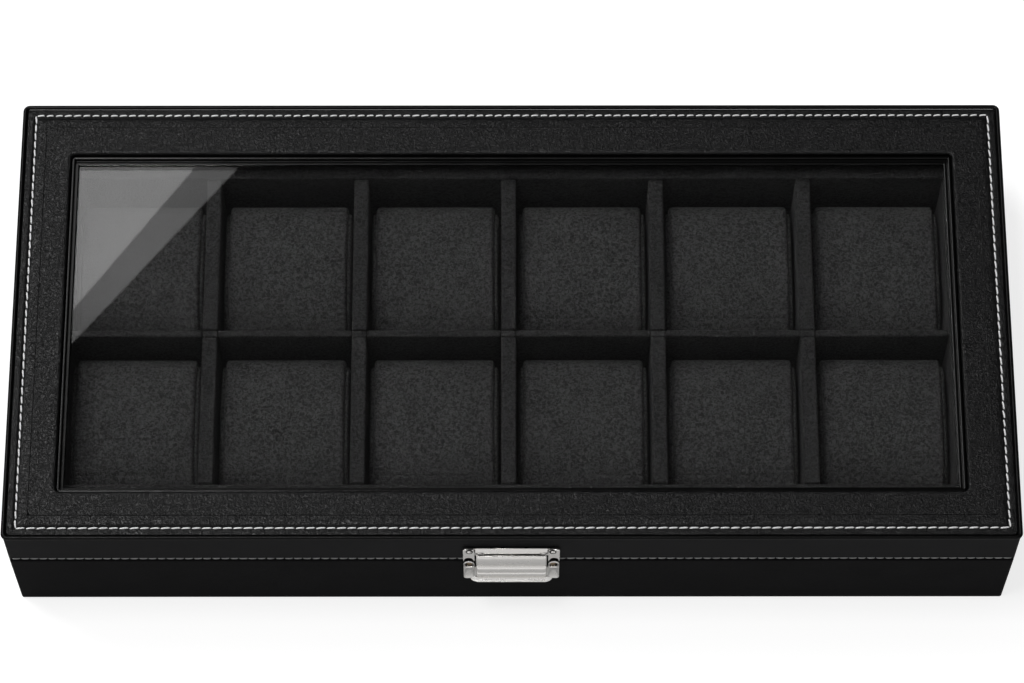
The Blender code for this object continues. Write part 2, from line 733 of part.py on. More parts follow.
lid_rails = four_walls(
    "lid_board",
    base_size,
    board_pair,
    RAIL_BOTTOM,
    RAIL_TOP,
    (0.0, 0.0),
    board_wood,
    BOARD_EDGE_RADIUS,
)
cut(lid_rails["front"], *latch_holes)
lid_pieces += list(lid_rails.values())

lid_wrap = leather_wrap("lid_wrap", LID_BOTTOM, LID_WRAP_TOP, False)
cut(lid_wrap, *latch_holes)
lid_pieces.append(lid_wrap)

inner_corner = LEATHER_CORNER_RADIUS - LEATHER_THICKNESS
top_board = ring(
    "lid_board_top",
    (BOARD_OUTER_WIDTH, BOARD_OUTER_DEPTH, inner_corner),
    (REBATE_WIDTH, REBATE_DEPTH, WINDOW_CORNER_RADIUS),
    TOP_BOARD_BOTTOM,
    LID_WRAP_TOP,
    inner_shift_y=WINDOW_SHIFT_Y,
)
lid_pieces.append(dress(top_board, board_wood))

lid_lining = ring(
    "lid_lining",
    (BOARD_INNER_WIDTH - 2 * PIECE_GAP, BOARD_INNER_DEPTH - 2 * PIECE_GAP, inner_corner),
    (REBATE_WIDTH - 2 * LINING_LAP, REBATE_DEPTH - 2 * LINING_LAP, WINDOW_CORNER_RADIUS),
    LID_LINING_BOTTOM,
    RAIL_TOP,
    inner_shift_y=WINDOW_SHIFT_Y,
)
lid_pieces.append(dress(lid_lining, suede))

glass_width = REBATE_WIDTH - 2 * PIECE_GAP
glass_depth = REBATE_DEPTH - 2 * PIECE_GAP
glass = flat_piece(
    "lid_glass",
    [rounded_outline(glass_width, glass_depth, GLASS_RADIUS)],
    GLASS_THICKNESS,
    (0.0, WINDOW_SHIFT_Y, (GLASS_BOTTOM + GLASS_TOP) / 2),
)
lid_pieces.append(dress(glass, clear_glass))

flange_outer = (glass_width, glass_depth, WINDOW_CORNER_RADIUS)
trim = ring(
    "window_trim",
    flange_outer,
    (OPENING_WIDTH, OPENING_DEPTH, WINDOW_CORNER_RADIUS),
    TRIM_BOTTOM,
    TRIM_BOTTOM + TRIM_FLANGE_THICKNESS,
    shift_y=WINDOW_SHIFT_Y,
)
riser_outer = (WINDOW_WIDTH - 2 * PIECE_GAP, WINDOW_DEPTH - 2 * PIECE_GAP, WINDOW_CORNER_RADIUS)
riser = ring(
    "window_trim_riser",
    riser_outer,
    (OPENING_WIDTH + 2 * TRIM_STEP_WIDTH, OPENING_DEPTH + 2 * TRIM_STEP_WIDTH, WINDOW_CORNER_RADIUS),
    TRIM_BOTTOM + TRIM_FLANGE_THICKNESS / 2,
    TRIM_BOTTOM + TRIM_HEIGHT,
    shift_y=WINDOW_SHIFT_Y,
)
join(trim, riser)
lid_pieces.append(dress(trim, trim_black))

pad_inset = PIPING_OVERHANG + PIPING_RADIUS + PIECE_GAP
pad_outer = (BOX_WIDTH - 2 * pad_inset, BOX_DEPTH - 2 * pad_inset, LEATHER_CORNER_RADIUS)
pad = ring(
    "lid_pad",
    pad_outer,
    (WINDOW_WIDTH, WINDOW_DEPTH, WINDOW_CORNER_RADIUS),
    PAD_BOTTOM,
    BOX_HEIGHT,
    inner_shift_y=WINDOW_SHIFT_Y,
)
round_edges(pad, PAD_EDGE_RADIUS, segments=3)
channel_outer = STITCH_INSET - STITCH_CHANNEL_WIDTH / 2
channel_inner = STITCH_INSET + STITCH_CHANNEL_WIDTH / 2
channel = ring(
    "stitch_channel",
    (BOX_WIDTH - 2 * channel_outer, BOX_DEPTH - 2 * channel_outer, LEATHER_CORNER_RADIUS),
    (BOX_WIDTH - 2 * channel_inner, BOX_DEPTH - 2 * channel_inner, LEATHER_CORNER_RADIUS),
    BOX_HEIGHT - STITCH_CHANNEL_DEPTH,
    BOX_HEIGHT + CUTTER_LENGTH,
)
cut(pad, as_helper(channel))
lid_pieces.append(dress(pad, leather))


def piping_loop(name, width, depth, corner, radius, centre_z):
    curve = bpy.data.curves.new(name + "_path", "CURVE")
    curve.dimensions = "3D"
    curve.bevel_depth = radius
    curve.bevel_resolution = 2
    outline = rounded_outline(width, depth, corner)
    spline = curve.splines.new("POLY")
    spline.points.add(len(outline) - 1)
    for point, (x, y) in zip(spline.points, outline):
        point.co = (x, y, 0.0, 1.0)
    spline.use_cyclic_u = True
    guide = bpy.data.objects.new(name + "_path", curve)
    mesh = bpy.data.meshes.new_from_object(guide)
    mesh.name = name
    bpy.data.objects.remove(guide)
    return new_object(name, mesh, (0.0, 0.0, centre_z))


piping_width = BOX_WIDTH - 2 * PIPING_RADIUS
piping_depth = BOX_DEPTH - 2 * PIPING_RADIUS
piping = piping_loop(
    "lid_piping",
    piping_width,
    piping_depth,
    LEATHER_CORNER_RADIUS,
    PIPING_RADIUS,
    BOX_HEIGHT - PIPING_RADIUS,
)
lid_pieces.append(dress(piping, bead_leather, smooth=True))


# Hinges

def hinge_leaf(name, x, side, knuckle_spans):
    """A leaf on the back face. side is -1 for the base and 1 for the lid."""
    clear = KNUCKLE_RADIUS + PIECE_GAP
    leaf_y = BACK_FACE + PIECE_GAP + HINGE_LEAF_THICKNESS / 2
    leaf_z = SEAM_HEIGHT + side * (clear + HINGE_LEAF_HEIGHT / 2)
    leaf_size = (HINGE_LENGTH, HINGE_LEAF_THICKNESS, HINGE_LEAF_HEIGHT)
    leaf = block(name, leaf_size, (x, leaf_y, leaf_z))
    bore = as_helper(
        rod(
            name + "_bore",
            KNUCKLE_BORE,
            HINGE_LENGTH + CUTTER_LENGTH,
            (x, HINGE_AXIS_Y, SEAM_HEIGHT),
            ALONG_X,
        )
    )
    for number, (start, end) in enumerate(knuckle_spans):
        middle = x + (start + end) / 2
        tab_size = (end - start, HINGE_LEAF_THICKNESS, 2 * clear)
        tab_z = SEAM_HEIGHT + side * clear
        tab = block(f"{name}_tab_{number}", tab_size, (middle, leaf_y, tab_z))
        knuckle = rod(
            f"{name}_knuckle_{number}",
            KNUCKLE_RADIUS,
            end - start,
            (middle, HINGE_AXIS_Y, SEAM_HEIGHT),
            ALONG_X,
        )
        join(leaf, tab, knuckle)
    cut(leaf, bore)
    for end in (-1, 1):
        hole_place = (x + end * HINGE_LENGTH * HINGE_HOLE_SHARE, leaf_y, leaf_z)
        hole = rod(
            f"{name}_hole_{end + 2}",
            HINGE_HOLE_RADIUS,
            KNUCKLE_RADIUS,
            hole_place,
            ALONG_Y,
            SCREW_SIDES,
        )
        cut(leaf, as_helper(hole))
    return dress(leaf, nickel)


def hinge(name, x):
    """Base leaf with two outer knuckles, lid leaf with one between them, and their pin."""
    half = HINGE_LENGTH / 2
    knuckle = HINGE_LENGTH * KNUCKLE_LENGTH_SHARE
    outer = ((-half, knuckle - half), (half - knuckle, half))
    inner = ((knuckle - half + PIECE_GAP, half - knuckle - PIECE_GAP),)
    hinge_leaf(name + "_base_leaf", x, -1, outer)
    lid_leaf = hinge_leaf(name + "_lid_leaf", x, 1, inner)
    pin_length = HINGE_LENGTH + 2 * HINGE_PIN_OVERLENGTH
    pin = rod(name + "_pin", HINGE_PIN_RADIUS, pin_length, (x, HINGE_AXIS_Y, SEAM_HEIGHT), ALONG_X)
    dress(pin, pin_steel, smooth=False)
    return lid_leaf


for hinge_name, hinge_x in (("hinge_left", -HINGE_X), ("hinge_right", HINGE_X)):
    lid_pieces.append(hinge(hinge_name, hinge_x))


# Clasp

EAR_MIDDLE_X = (CLASP_WIDTH - CLASP_EAR_WIDTH) / 2
EAR_ROUND_RADIUS = CLASP_EAR_WIDTH * EAR_ROUND_SHARE


def arch_outline():
    """Upper plate, seen from the front about the barrel height: a bar with an ear at each end."""
    half = CLASP_WIDTH / 2
    ear = half - CLASP_EAR_WIDTH
    top = CLASP_TOP - BARREL_HEIGHT
    low = LID_BOTTOM + PIECE_GAP - BARREL_HEIGHT
    bar_low = CLASP_TOP - CLASP_BAR_HEIGHT - BARREL_HEIGHT
    points = [(-half, low), (-ear, low), (-ear, bar_low), (ear, bar_low), (ear, low), (half, low),
              (half, top), (-half, top)]
    return round_corners(points, [CLASP_CORNER_RADIUS] * len(points))


def ear_notch(name, side):
    """Cutter for the half-round notch in the foot of an upper ear."""
    radius = CLASP_EAR_WIDTH * EAR_NOTCH_SHARE
    place = (side * EAR_MIDDLE_X, PLATE_FRONT, LID_BOTTOM)
    return as_helper(rod(name, radius, CUTTER_LENGTH, place, ALONG_Y, SCREW_SIDES))


plate_centre = (0.0, (PLATE_BACK + PLATE_FRONT) / 2, BARREL_HEIGHT)
latch_plate = flat_piece("latch_plate", [arch_outline()], CLASP_SHEET, plate_centre, FACING_FRONT)
lug_x = FLAP_WIDTH / 2 - BARREL_LUG_LENGTH / 2
barrel_place = (0.0, BARREL_AXIS_Y, BARREL_HEIGHT)
pin_bore = as_helper(rod("latch_bore", BARREL_BORE, CLASP_WIDTH, barrel_place, ALONG_X))
for side, label in ((-1, "left"), (1, "right")):
    lug_place = (side * lug_x, BARREL_AXIS_Y, BARREL_HEIGHT)
    lug = rod(f"latch_lug_{label}", BARREL_RADIUS, BARREL_LUG_LENGTH, lug_place, ALONG_X)
    foot_depth = PIECE_GAP + BARREL_RADIUS + CLASP_SHEET / 2
    foot_size = (BARREL_LUG_LENGTH, foot_depth, BARREL_RADIUS)
    foot_place = (side * lug_x, BARREL_AXIS_Y + foot_depth / 2, BARREL_HEIGHT)
    foot = block(f"latch_foot_{label}", foot_size, foot_place)
    join(latch_plate, lug, foot)
notches = (ear_notch("latch_notch_left", -1), ear_notch("latch_notch_right", 1))
cut(latch_plate, pin_bore, *notches, *latch_holes)
lid_pieces.append(dress(latch_plate, nickel))

latch_pin = rod(
    "latch_pin", LATCH_PIN_RADIUS, FLAP_WIDTH, barrel_place, ALONG_X, SCREW_SIDES
)
lid_pieces.append(dress(latch_pin, pin_steel))

screw_seat = PLATE_FRONT - PIECE_GAP
for name, x in (("latch_screw_left", -SCREW_X), ("latch_screw_right", SCREW_X)):
    lid_pieces.append(screw(name, x, LATCH_SCREW_Z, screw_seat, SCREW_HEAD_RADIUS, nickel))


def flap_profile():
    """Section of the flap about the barrel: outer line down from the barrel, inner line back up."""
    drop = BARREL_HEIGHT - FLAP_BOTTOM
    outer = [
        (-BARREL_RADIUS - bulge_share * FLAP_BULGE, -drop_share * drop)
        for drop_share, bulge_share in zip(FLAP_DROP_SHARES, FLAP_BULGE_SHARES)
    ]
    inner = [(y + CLASP_SHEET, z) for y, z in reversed(outer)]
    return outer + inner


flap_axis = axis_empty("latch_hinge_axis", barrel_place, lid_axis)
flap = flat_piece(
    "latch_flap", [flap_profile()], FLAP_WIDTH, barrel_place, PROFILE_ALONG_X
)
slot_length = BARREL_LUG_LENGTH + PIECE_GAP
for side, label in ((-1, "left"), (1, "right")):
    slot_size = (2 * slot_length, 4 * BARREL_RADIUS, 2 * (BARREL_RADIUS + PIECE_GAP))
    slot_place = (side * FLAP_WIDTH / 2, BARREL_AXIS_Y, BARREL_HEIGHT)
    cut(flap, as_helper(block(f"flap_slot_{label}", slot_size, slot_place)))
barrel_length = FLAP_WIDTH - 2 * slot_length
barrel = rod("flap_barrel", BARREL_RADIUS, barrel_length, barrel_place, ALONG_X)


def tab_outline():
    """Thumb tab seen from above, with long elliptical corners."""
    front = []
    for step in range(CORNER_STEPS + 1):
        angle = math.radians(90) * step / CORNER_STEPS
        x = TAB_WIDTH / 2 - TAB_CORNER_LENGTH * (1.0 - math.cos(angle))
        front.append((x, -TAB_REACH * math.sin(angle)))
    return front + [(-x, y) for x, y in reversed(front)]


tab_place = (0.0, BARREL_AXIS_Y - BARREL_RADIUS + CLASP_SHEET / 2, FLAP_BOTTOM)
tab = flat_piece("flap_tab", [tab_outline()], CLASP_SHEET, tab_place)
join(flap, barrel, tab)
cut(flap, pin_bore)
dress(flap, nickel)

catch_height = BASE_TOP - PIECE_GAP - CATCH_BOTTOM


def catch_outline():
    """Lower plate, seen from the front and from its lower edge up: round-topped ears, low middle."""
    half = CLASP_WIDTH / 2
    ear = half - CLASP_EAR_WIDTH
    web_top = catch_height - CATCH_WEB_DROP
    foot = CLASP_CORNER_RADIUS
    head = EAR_ROUND_RADIUS
    points = [(-half, 0.0), (half, 0.0), (half, catch_height), (ear, catch_height), (ear, web_top),
              (-ear, web_top), (-ear, catch_height), (-half, catch_height)]
    return round_corners(points, [foot, foot, head, head, foot, foot, head, head])


def catch_boss(name, side):
    """Raised face of a lower ear, in which the screw head lies sunk."""
    half = CLASP_EAR_WIDTH / 2 - CATCH_BOSS_INSET
    low = CATCH_BOSS_INSET
    high = catch_height - CATCH_BOSS_INSET
    head = EAR_ROUND_RADIUS - CATCH_BOSS_INSET
    foot = CLASP_CORNER_RADIUS
    outline = round_corners(
        [(-half, low), (half, low), (half, high), (-half, high)], [foot, foot, head, head]
    )
    thickness = CATCH_BOSS_HEIGHT + CLASP_SHEET / 2
    middle_y = PLATE_FRONT + CLASP_SHEET / 2 - thickness / 2
    place = (side * EAR_MIDDLE_X, middle_y, CATCH_BOTTOM)
    return flat_piece(name, [outline], thickness, place, FACING_FRONT)


catch_place = (0.0, (PLATE_BACK + PLATE_FRONT) / 2, CATCH_BOTTOM)
catch_plate = flat_piece("catch_plate", [catch_outline()], CLASP_SHEET, catch_place, FACING_FRONT)
ridge_place = (0.0, PLATE_FRONT, CATCH_RIDGE_HEIGHT)
ridge = rod("catch_ridge", CATCH_RIDGE_RADIUS, CATCH_RIDGE_LENGTH, ridge_place, ALONG_X, SCREW_SIDES)
trim_size = (CLASP_WIDTH, CUTTER_LENGTH, 2 * catch_height)
behind_place = (0.0, PLATE_BACK + CUTTER_LENGTH / 2, CATCH_BOTTOM)
behind = as_helper(block("catch_behind", trim_size, behind_place))
sunk_floor_y = PLATE_BACK - SUNK_FLOOR
seats = (
    counterbore("catch_seat_left", -SCREW_X, CATCH_SCREW_Z, sunk_floor_y),
    counterbore("catch_seat_right", SCREW_X, CATCH_SCREW_Z, sunk_floor_y),
)
join(catch_plate, ridge, catch_boss("catch_boss_left", -1), catch_boss("catch_boss_right", 1))
cut(catch_plate, behind, *seats, *catch_holes)
dress(catch_plate, nickel)
sunk_seat = sunk_floor_y - LAP_CLEARANCE
screw("catch_screw_left", -SCREW_X, CATCH_SCREW_Z, sunk_seat, SUNK_HEAD_RADIUS, dark_brass)
screw("catch_screw_right", SCREW_X, CATCH_SCREW_Z, sunk_seat, SUNK_HEAD_RADIUS, dark_brass)

carry(lid_pieces, lid_axis)
carry([flap], flap_axis)
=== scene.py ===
from math import radians

import bpy
import numpy as np
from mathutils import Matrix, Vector


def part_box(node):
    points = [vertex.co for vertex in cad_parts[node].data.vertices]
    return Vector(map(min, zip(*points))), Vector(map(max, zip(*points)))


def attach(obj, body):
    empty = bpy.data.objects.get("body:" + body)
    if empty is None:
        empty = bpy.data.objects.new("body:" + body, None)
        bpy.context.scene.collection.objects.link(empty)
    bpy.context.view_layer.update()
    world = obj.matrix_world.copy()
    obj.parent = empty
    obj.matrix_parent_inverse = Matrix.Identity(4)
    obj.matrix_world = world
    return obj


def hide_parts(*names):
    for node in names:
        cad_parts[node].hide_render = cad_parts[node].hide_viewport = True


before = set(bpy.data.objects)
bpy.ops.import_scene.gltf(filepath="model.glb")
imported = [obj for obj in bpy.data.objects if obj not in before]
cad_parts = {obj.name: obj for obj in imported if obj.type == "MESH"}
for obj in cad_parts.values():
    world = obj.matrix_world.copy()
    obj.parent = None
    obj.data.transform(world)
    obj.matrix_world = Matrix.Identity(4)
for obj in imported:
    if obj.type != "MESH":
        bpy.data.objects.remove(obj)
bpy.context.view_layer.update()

mm = 0.001
print("frame loaded,", len(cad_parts), "nodes")


# ---- meshes from arrays ----

def makeMesh(name, points, faceSets, smooth=True):
    # points is n by 3, faceSets a list of index arrays that each hold faces of one kind
    sizes = np.concatenate([np.full(len(f), f.shape[1]) for f in faceSets])
    corners = np.concatenate([f.ravel() for f in faceSets]).astype(np.int32)
    mesh = bpy.data.meshes.new(name)
    mesh.vertices.add(len(points))
    mesh.vertices.foreach_set("co", np.asarray(points, np.float32).ravel())
    mesh.loops.add(len(corners))
    mesh.loops.foreach_set("vertex_index", corners)
    mesh.polygons.add(len(sizes))
    mesh.polygons.foreach_set("loop_start", np.concatenate([[0], np.cumsum(sizes)[:-1]]).astype(np.int32))
    mesh.polygons.foreach_set("use_smooth", np.full(len(sizes), smooth))
    mesh.update(calc_edges=True)
    obj = bpy.data.objects.new(name, mesh)
    bpy.context.scene.collection.objects.link(obj)
    return obj


def gridFaces(rows, columns, wrapRows=False, wrapColumns=False):
    # quads of a grid of points, closed in either direction where asked
    row, column = np.meshgrid(np.arange(rows - (not wrapRows)), np.arange(columns - (not wrapColumns)), indexing="ij")
    nextRow, nextColumn = (row + 1) % rows, (column + 1) % columns
    quads = [row * columns + column, row * columns + nextColumn, nextRow * columns + nextColumn, nextRow * columns + column]
    return np.stack(quads, -1).reshape(-1, 4)


def outward(points, faceSets):
    # turns all faces round if the volume that they enclose comes out negative
    volume = 0.0
    for faces in faceSets:
        first = points[faces[:, 0]]
        for k in range(1, faces.shape[1] - 1):
            volume += np.einsum("ij,ij->i", first, np.cross(points[faces[:, k]], points[faces[:, k + 1]])).sum()
    return faceSets if volume > 0 else [faces[:, ::-1] for faces in faceSets]


def solidMesh(name, points, faceSets, smooth=True):
    points = np.asarray(points, float)
    return makeMesh(name, points, outward(points - points.mean(0), faceSets), smooth)


def loftMesh(name, rings, closed=False, smooth=True):
    # rings is r by n by 3. The ends are capped with one face each, or the last ring joins the first
    count, around = rings.shape[:2]
    faceSets = [gridFaces(count, around, closed, True)]
    if not closed:
        faceSets += [np.arange(around)[None, ::-1], (count - 1) * around + np.arange(around)[None]]
    return solidMesh(name, rings.reshape(-1, 3), faceSets, smooth)


def roundedLoop(half, radii, sideCounts=(2, 2), cornerCount=6):
    # rounded rectangles, anticlockwise: half is r by 2, radii r by 4 from the corner at +u +v. Each corner is a
    # quarter circle, and the sides between are straight
    half, radii = np.atleast_2d(half).astype(float), np.atleast_2d(radii).astype(float)
    signs = np.array([[1, 1], [-1, 1], [-1, -1], [1, -1]], float)
    angle = np.radians(90) * (np.arange(4)[:, None] + np.linspace(0, 1, cornerCount + 1)[None])
    circle = np.stack([np.cos(angle), np.sin(angle)], -1)
    corner = radii[:, :, None, None]
    arcs = signs[None, :, None] * (half[:, None, None] - corner) + corner * circle[None]
    runs = []
    for k in range(4):
        start, end = arcs[:, k, -1], arcs[:, (k + 1) % 4, 0]
        share = np.linspace(0, 1, sideCounts[k % 2] + 2)[1:-1]
        runs += [arcs[:, k], start[:, None] + (end - start)[:, None] * share[None, :, None]]
    return np.concatenate(runs, 1)


def throughPoints(points, steps):
    # a Catmull-Rom curve through rows of numbers: each piece is a cubic whose slope at a point is half the step
    # from the point before to the point after
    p = np.asarray(points, float)
    p = np.concatenate([2 * p[:1] - p[1:2], p, 2 * p[-1:] - p[-2:-1]])
    t = np.linspace(0, 1, steps, endpoint=False)[:, None, None]
    a, b, c, d = (p[k:len(p) - 3 + k][None] for k in range(4))
    curve = 0.5 * (2 * b + (c - a) * t + (2 * a - 5 * b + 4 * c - d) * t ** 2 + (3 * b - a - 3 * c + d) * t ** 3)
    return np.concatenate([curve.transpose(1, 0, 2).reshape(-1, p.shape[1]), p[-2:-1]])


def frameSweep(name, section, outer, inner, sideCounts=(40, 20), cornerCount=8):
    # a closed section carried round a frame. outer and inner are (half x, half y, radius, shift y) in metres, and a
    # row of the section is share from outer to inner, inset in mm towards the middle, height in mm
    share, inset, height = section[:, 0:1], section[:, 1:2] * mm, section[:, 2:3] * mm
    outer, inner = np.array(outer), np.array(inner)
    size = outer[None] * (1 - share) + inner[None] * share
    radius = np.maximum(size[:, 2:3] - inset, 0.0002)
    loops = roundedLoop(size[:, :2] - inset, np.repeat(radius, 4, 1), sideCounts, cornerCount)
    heights = np.broadcast_to(height[:, :, None], loops.shape[:2] + (1,))
    rings = np.concatenate([loops + np.stack([0 * size[:, 3], size[:, 3]], -1)[:, None], heights], -1)
    return loftMesh(name, rings, closed=True)


def softBlock(low, high, edge, steps=4, radius=None):
    # rings of a block with rounded edges: nested rounded rectangles that shrink by 1 - sin as the height nears
    # either end by 1 - cos
    low, high = np.array(low, float), np.array(high, float)
    half, middle = (high - low) / 2, (high + low) / 2
    angle = np.linspace(0, np.pi / 2, steps + 1)
    inset = np.concatenate([[edge * 1.6], edge * (1 - np.sin(angle))])
    rise = np.concatenate([[0.0], edge * (1 - np.cos(angle))])
    inset, rise = np.concatenate([inset, inset[::-1]]), np.concatenate([rise, 2 * half[2] - rise[::-1]])
    plan = half[None, :2] - inset[:, None]
    corner = np.maximum((radius or edge) - inset, 0.00005)[:, None] * np.ones((1, 4))
    loops = roundedLoop(plan, corner, (1, 1), 4)
    z = np.broadcast_to((low[2] + rise)[:, None, None], loops.shape[:2] + (1,))
    return np.concatenate([loops + middle[None, None, :2], z], -1)


def joinRings(name, blocks, smooth=True):
    # several lofts in one mesh: capped at both ends, or closed like a ring where the rings come in a tuple
    allPoints, allFaces, start = [], [], 0
    for rings in blocks:
        closed = isinstance(rings, tuple)
        rings = rings[0] if closed else rings
        count, around = rings.shape[:2]
        points = rings.reshape(-1, 3)
        faceSets = [gridFaces(count, around, closed, True)]
        if not closed:
            faceSets += [np.arange(around)[None, ::-1], (count - 1) * around + np.arange(around)[None]]
        faceSets = outward(points - points.mean(0), faceSets)
        allFaces += [faces + start for faces in faceSets]
        allPoints.append(points)
        start += len(points)
    return makeMesh(name, np.concatenate(allPoints), allFaces, smooth)


def finishPiece(obj, body, material, replaced=()):
    obj.data.materials.clear()
    obj.data.materials.append(material)
    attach(obj, body)
    if replaced:
        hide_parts(*replaced)
    return obj


# ---- node helpers and shared effects ----

def addNode(tree, kind, inputs=None, **settings):
    node = tree.nodes.new(kind)
    for key, value in settings.items():
        setattr(node, key, value)
    for key, value in (inputs or {}).items():
        if isinstance(value, bpy.types.NodeSocket):
            tree.links.new(value, node.inputs[key])
        else:
            node.inputs[key].default_value = value
    return node


def noiseNode(tree, place, scale, detail, **more):
    inputs = {"Vector": place, "Scale": scale, "Detail": detail, **more}
    return addNode(tree, "ShaderNodeTexNoise", inputs).outputs


def newGroup(name, inputs, outputs):
    tree = bpy.data.node_groups.new(name, "ShaderNodeTree")
    for label, kind, value in inputs:
        socket = tree.interface.new_socket(label, in_out="INPUT", socket_type=kind)
        if value is not None:
            socket.default_value = value
    for label, kind in outputs:
        tree.interface.new_socket(label, in_out="OUTPUT", socket_type=kind)
    return tree, tree.nodes.new("NodeGroupInput"), tree.nodes.new("NodeGroupOutput")


def mathNode(tree, operation, a, b=0.5, c=0.5):
    return addNode(tree, "ShaderNodeMath", {0: a, 1: b, 2: c}, operation=operation).outputs[0]


# leather grain: pebbles of a cell pattern, with fine soft creases between them
grain, grainIn, grainOut = newGroup(
    "leatherGrain",
    [("Place", "NodeSocketVector", None), ("Cells", "NodeSocketFloat", 1500.0), ("Creases", "NodeSocketFloat", 0.6)],
    [("Height", "NodeSocketFloat"), ("Tone", "NodeSocketFloat")],
)
warp = noiseNode(grain, grainIn.outputs["Place"], 420.0, 2.0)
warped = addNode(grain, "ShaderNodeMixRGB", {0: 0.0012, 1: grainIn.outputs["Place"], 2: warp["Color"]}, blend_type="ADD")
cells = addNode(grain, "ShaderNodeTexVoronoi", {"Vector": warped.outputs[0], "Scale": grainIn.outputs["Cells"]}, feature="F1")
fineScale = mathNode(grain, "MULTIPLY", grainIn.outputs["Cells"], 0.7)
crease = noiseNode(grain, warped.outputs[0], fineScale, 4.0, Distortion=1.6)
ridge = mathNode(grain, "ABSOLUTE", mathNode(grain, "SUBTRACT", crease["Fac"], 0.5))
valley = mathNode(grain, "MULTIPLY", mathNode(grain, "MINIMUM", mathNode(grain, "MULTIPLY", ridge, 9.0), 1.0),
        grainIn.outputs["Creases"])
pebble = mathNode(grain, "MULTIPLY", cells.outputs["Distance"], -0.7)
patches = noiseNode(grain, grainIn.outputs["Place"], 60.0, 3.0)
grain.links.new(mathNode(grain, "ADD", pebble, valley), grainOut.inputs["Height"])
# the tone is random patches plus the creases, which are darker in colour as well as lower: painted shade in the creases
grain.links.new(mathNode(grain, "MULTIPLY_ADD", patches["Fac"], 0.6, mathNode(grain, "MULTIPLY", valley, 0.4)),
        grainOut.inputs["Tone"])

# suede nap: short fibres lying in drifting directions, and soft clouds where the nap was stroked
nap, napIn, napOut = newGroup(
    "suedeNap",
    [("Place", "NodeSocketVector", None), ("Fibres", "NodeSocketFloat", 1600.0), ("Clouds", "NodeSocketFloat", 120.0)],
    [("Height", "NodeSocketFloat"), ("Tone", "NodeSocketFloat")],
)
drift = noiseNode(nap, napIn.outputs["Place"], 700.0, 1.0)
drifted = addNode(nap, "ShaderNodeMixRGB", {0: 0.0016, 1: napIn.outputs["Place"], 2: drift["Color"]}, blend_type="ADD")
fibre = noiseNode(nap, drifted.outputs[0], napIn.outputs["Fibres"], 3.0, Roughness=0.65, Distortion=0.6)
cloud = noiseNode(nap, napIn.outputs["Place"], napIn.outputs["Clouds"], 2.0)
sharp = addNode(nap, "ShaderNodeMapRange", {"Value": fibre["Fac"], "From Min": 0.40, "From Max": 0.62})
nap.links.new(sharp.outputs["Result"], napOut.inputs["Height"])
nap.links.new(mathNode(nap, "MULTIPLY_ADD", cloud["Fac"], 0.3,
        mathNode(nap, "MULTIPLY", sharp.outputs["Result"], 0.7)), napOut.inputs["Tone"])

# brushed plating: long fine scratches across, and faint smudges
brush, brushIn, brushOut = newGroup(
    "brushedPlating",
    [("Place", "NodeSocketVector", None), ("Lines", "NodeSocketFloat", 2600.0)],
    [("Height", "NodeSocketFloat"), ("Smudge", "NodeSocketFloat")],
)
along = addNode(brush, "ShaderNodeMapping", {"Vector": brushIn.outputs["Place"], "Scale": (0.02, 1.0, 1.0)})
lines = noiseNode(brush, along.outputs[0], brushIn.outputs["Lines"], 3.0)
smudge = noiseNode(brush, brushIn.outputs["Place"], 160.0, 3.0)
brush.links.new(lines["Fac"], brushOut.inputs["Height"])
brush.links.new(smudge["Fac"], brushOut.inputs["Smudge"])


def newMaterial(name, settings):
    material = bpy.data.materials.new(name)
    material.use_nodes = True
    shader = material.node_tree.nodes["Principled BSDF"]
    for key, value in settings.items():
        shader.inputs[key].default_value = value
    return material, material.node_tree, shader


def tonedMaterial(name, group, groupInputs, dark, light, relief, settings):
    # a colour that runs from dark to light with the group's tone, and a bump of its height, relief in metres
    material, tree, shader = newMaterial(name, settings)
    place = addNode(tree, "ShaderNodeTexCoord").outputs["Object"]
    effect = addNode(tree, "ShaderNodeGroup", node_tree=group)
    tree.links.new(place, effect.inputs["Place"])
    for key, value in groupInputs.items():
        effect.inputs[key].default_value = value
    tone = addNode(tree, "ShaderNodeMixRGB", {0: effect.outputs["Tone"], 1: (*dark, 1), 2: (*light, 1)})
    bump = addNode(tree, "ShaderNodeBump", {"Height": effect.outputs["Height"], "Distance": relief, "Strength": 1.0})
    tree.links.new(tone.outputs[0], shader.inputs["Base Color"])
    tree.links.new(bump.outputs[0], shader.inputs["Normal"])
    return material


leather = {
    "padDark": (0.0008, 0.0008, 0.0009), "padLight": (0.0028, 0.0028, 0.0031),
    "beadDark": (0.0006, 0.0006, 0.0006), "beadLight": (0.0016, 0.0016, 0.0017),
    "sideDark": (0.0092, 0.0092, 0.0096), "sideLight": (0.0205, 0.0205, 0.0215),
    "baseDark": (0.0063, 0.0063, 0.0066), "baseLight": (0.0175, 0.0175, 0.0182),
    "cells": 900.0, "relief": 0.00013,
}
padLeather = tonedMaterial("padLeather", grain, {"Cells": leather["cells"], "Creases": 0.7}, leather["padDark"],
        leather["padLight"],
        leather["relief"], {"Roughness": 0.30, "Specular IOR Level": 0.20})
# the lid walls' leather is a far lighter copy of the pad leather: painted light for the walls, which the lamps barely
# reach
sideLeather = tonedMaterial("sideLeather", grain, {"Cells": leather["cells"], "Creases": 0.4}, leather["sideDark"],
        leather["sideLight"],
        0.00004, {"Roughness": 0.55, "IOR": 1.25, "Specular IOR Level": 0.08})
# the base leather is lighter than the pad, which is painted light as on the lid walls, but darker and less glossy than
# the lid walls: painted shade for the floor in shadow that the base mirrors near its foot
baseLeather = tonedMaterial("baseLeather", grain, {"Cells": leather["cells"], "Creases": 0.4}, leather["baseDark"],
        leather["baseLight"],
        0.00004, {"Roughness": 0.55, "IOR": 1.25, "Specular IOR Level": 0.04})
# the bead is a darker, less glossy copy of the pad leather: painted shade on the piping
beadLeather = tonedMaterial("beadLeather", grain, {"Cells": 1900.0, "Creases": 0.3}, leather["beadDark"], leather["beadLight"],
        0.00003, {"Roughness": 0.30, "Specular IOR Level": 0.09})

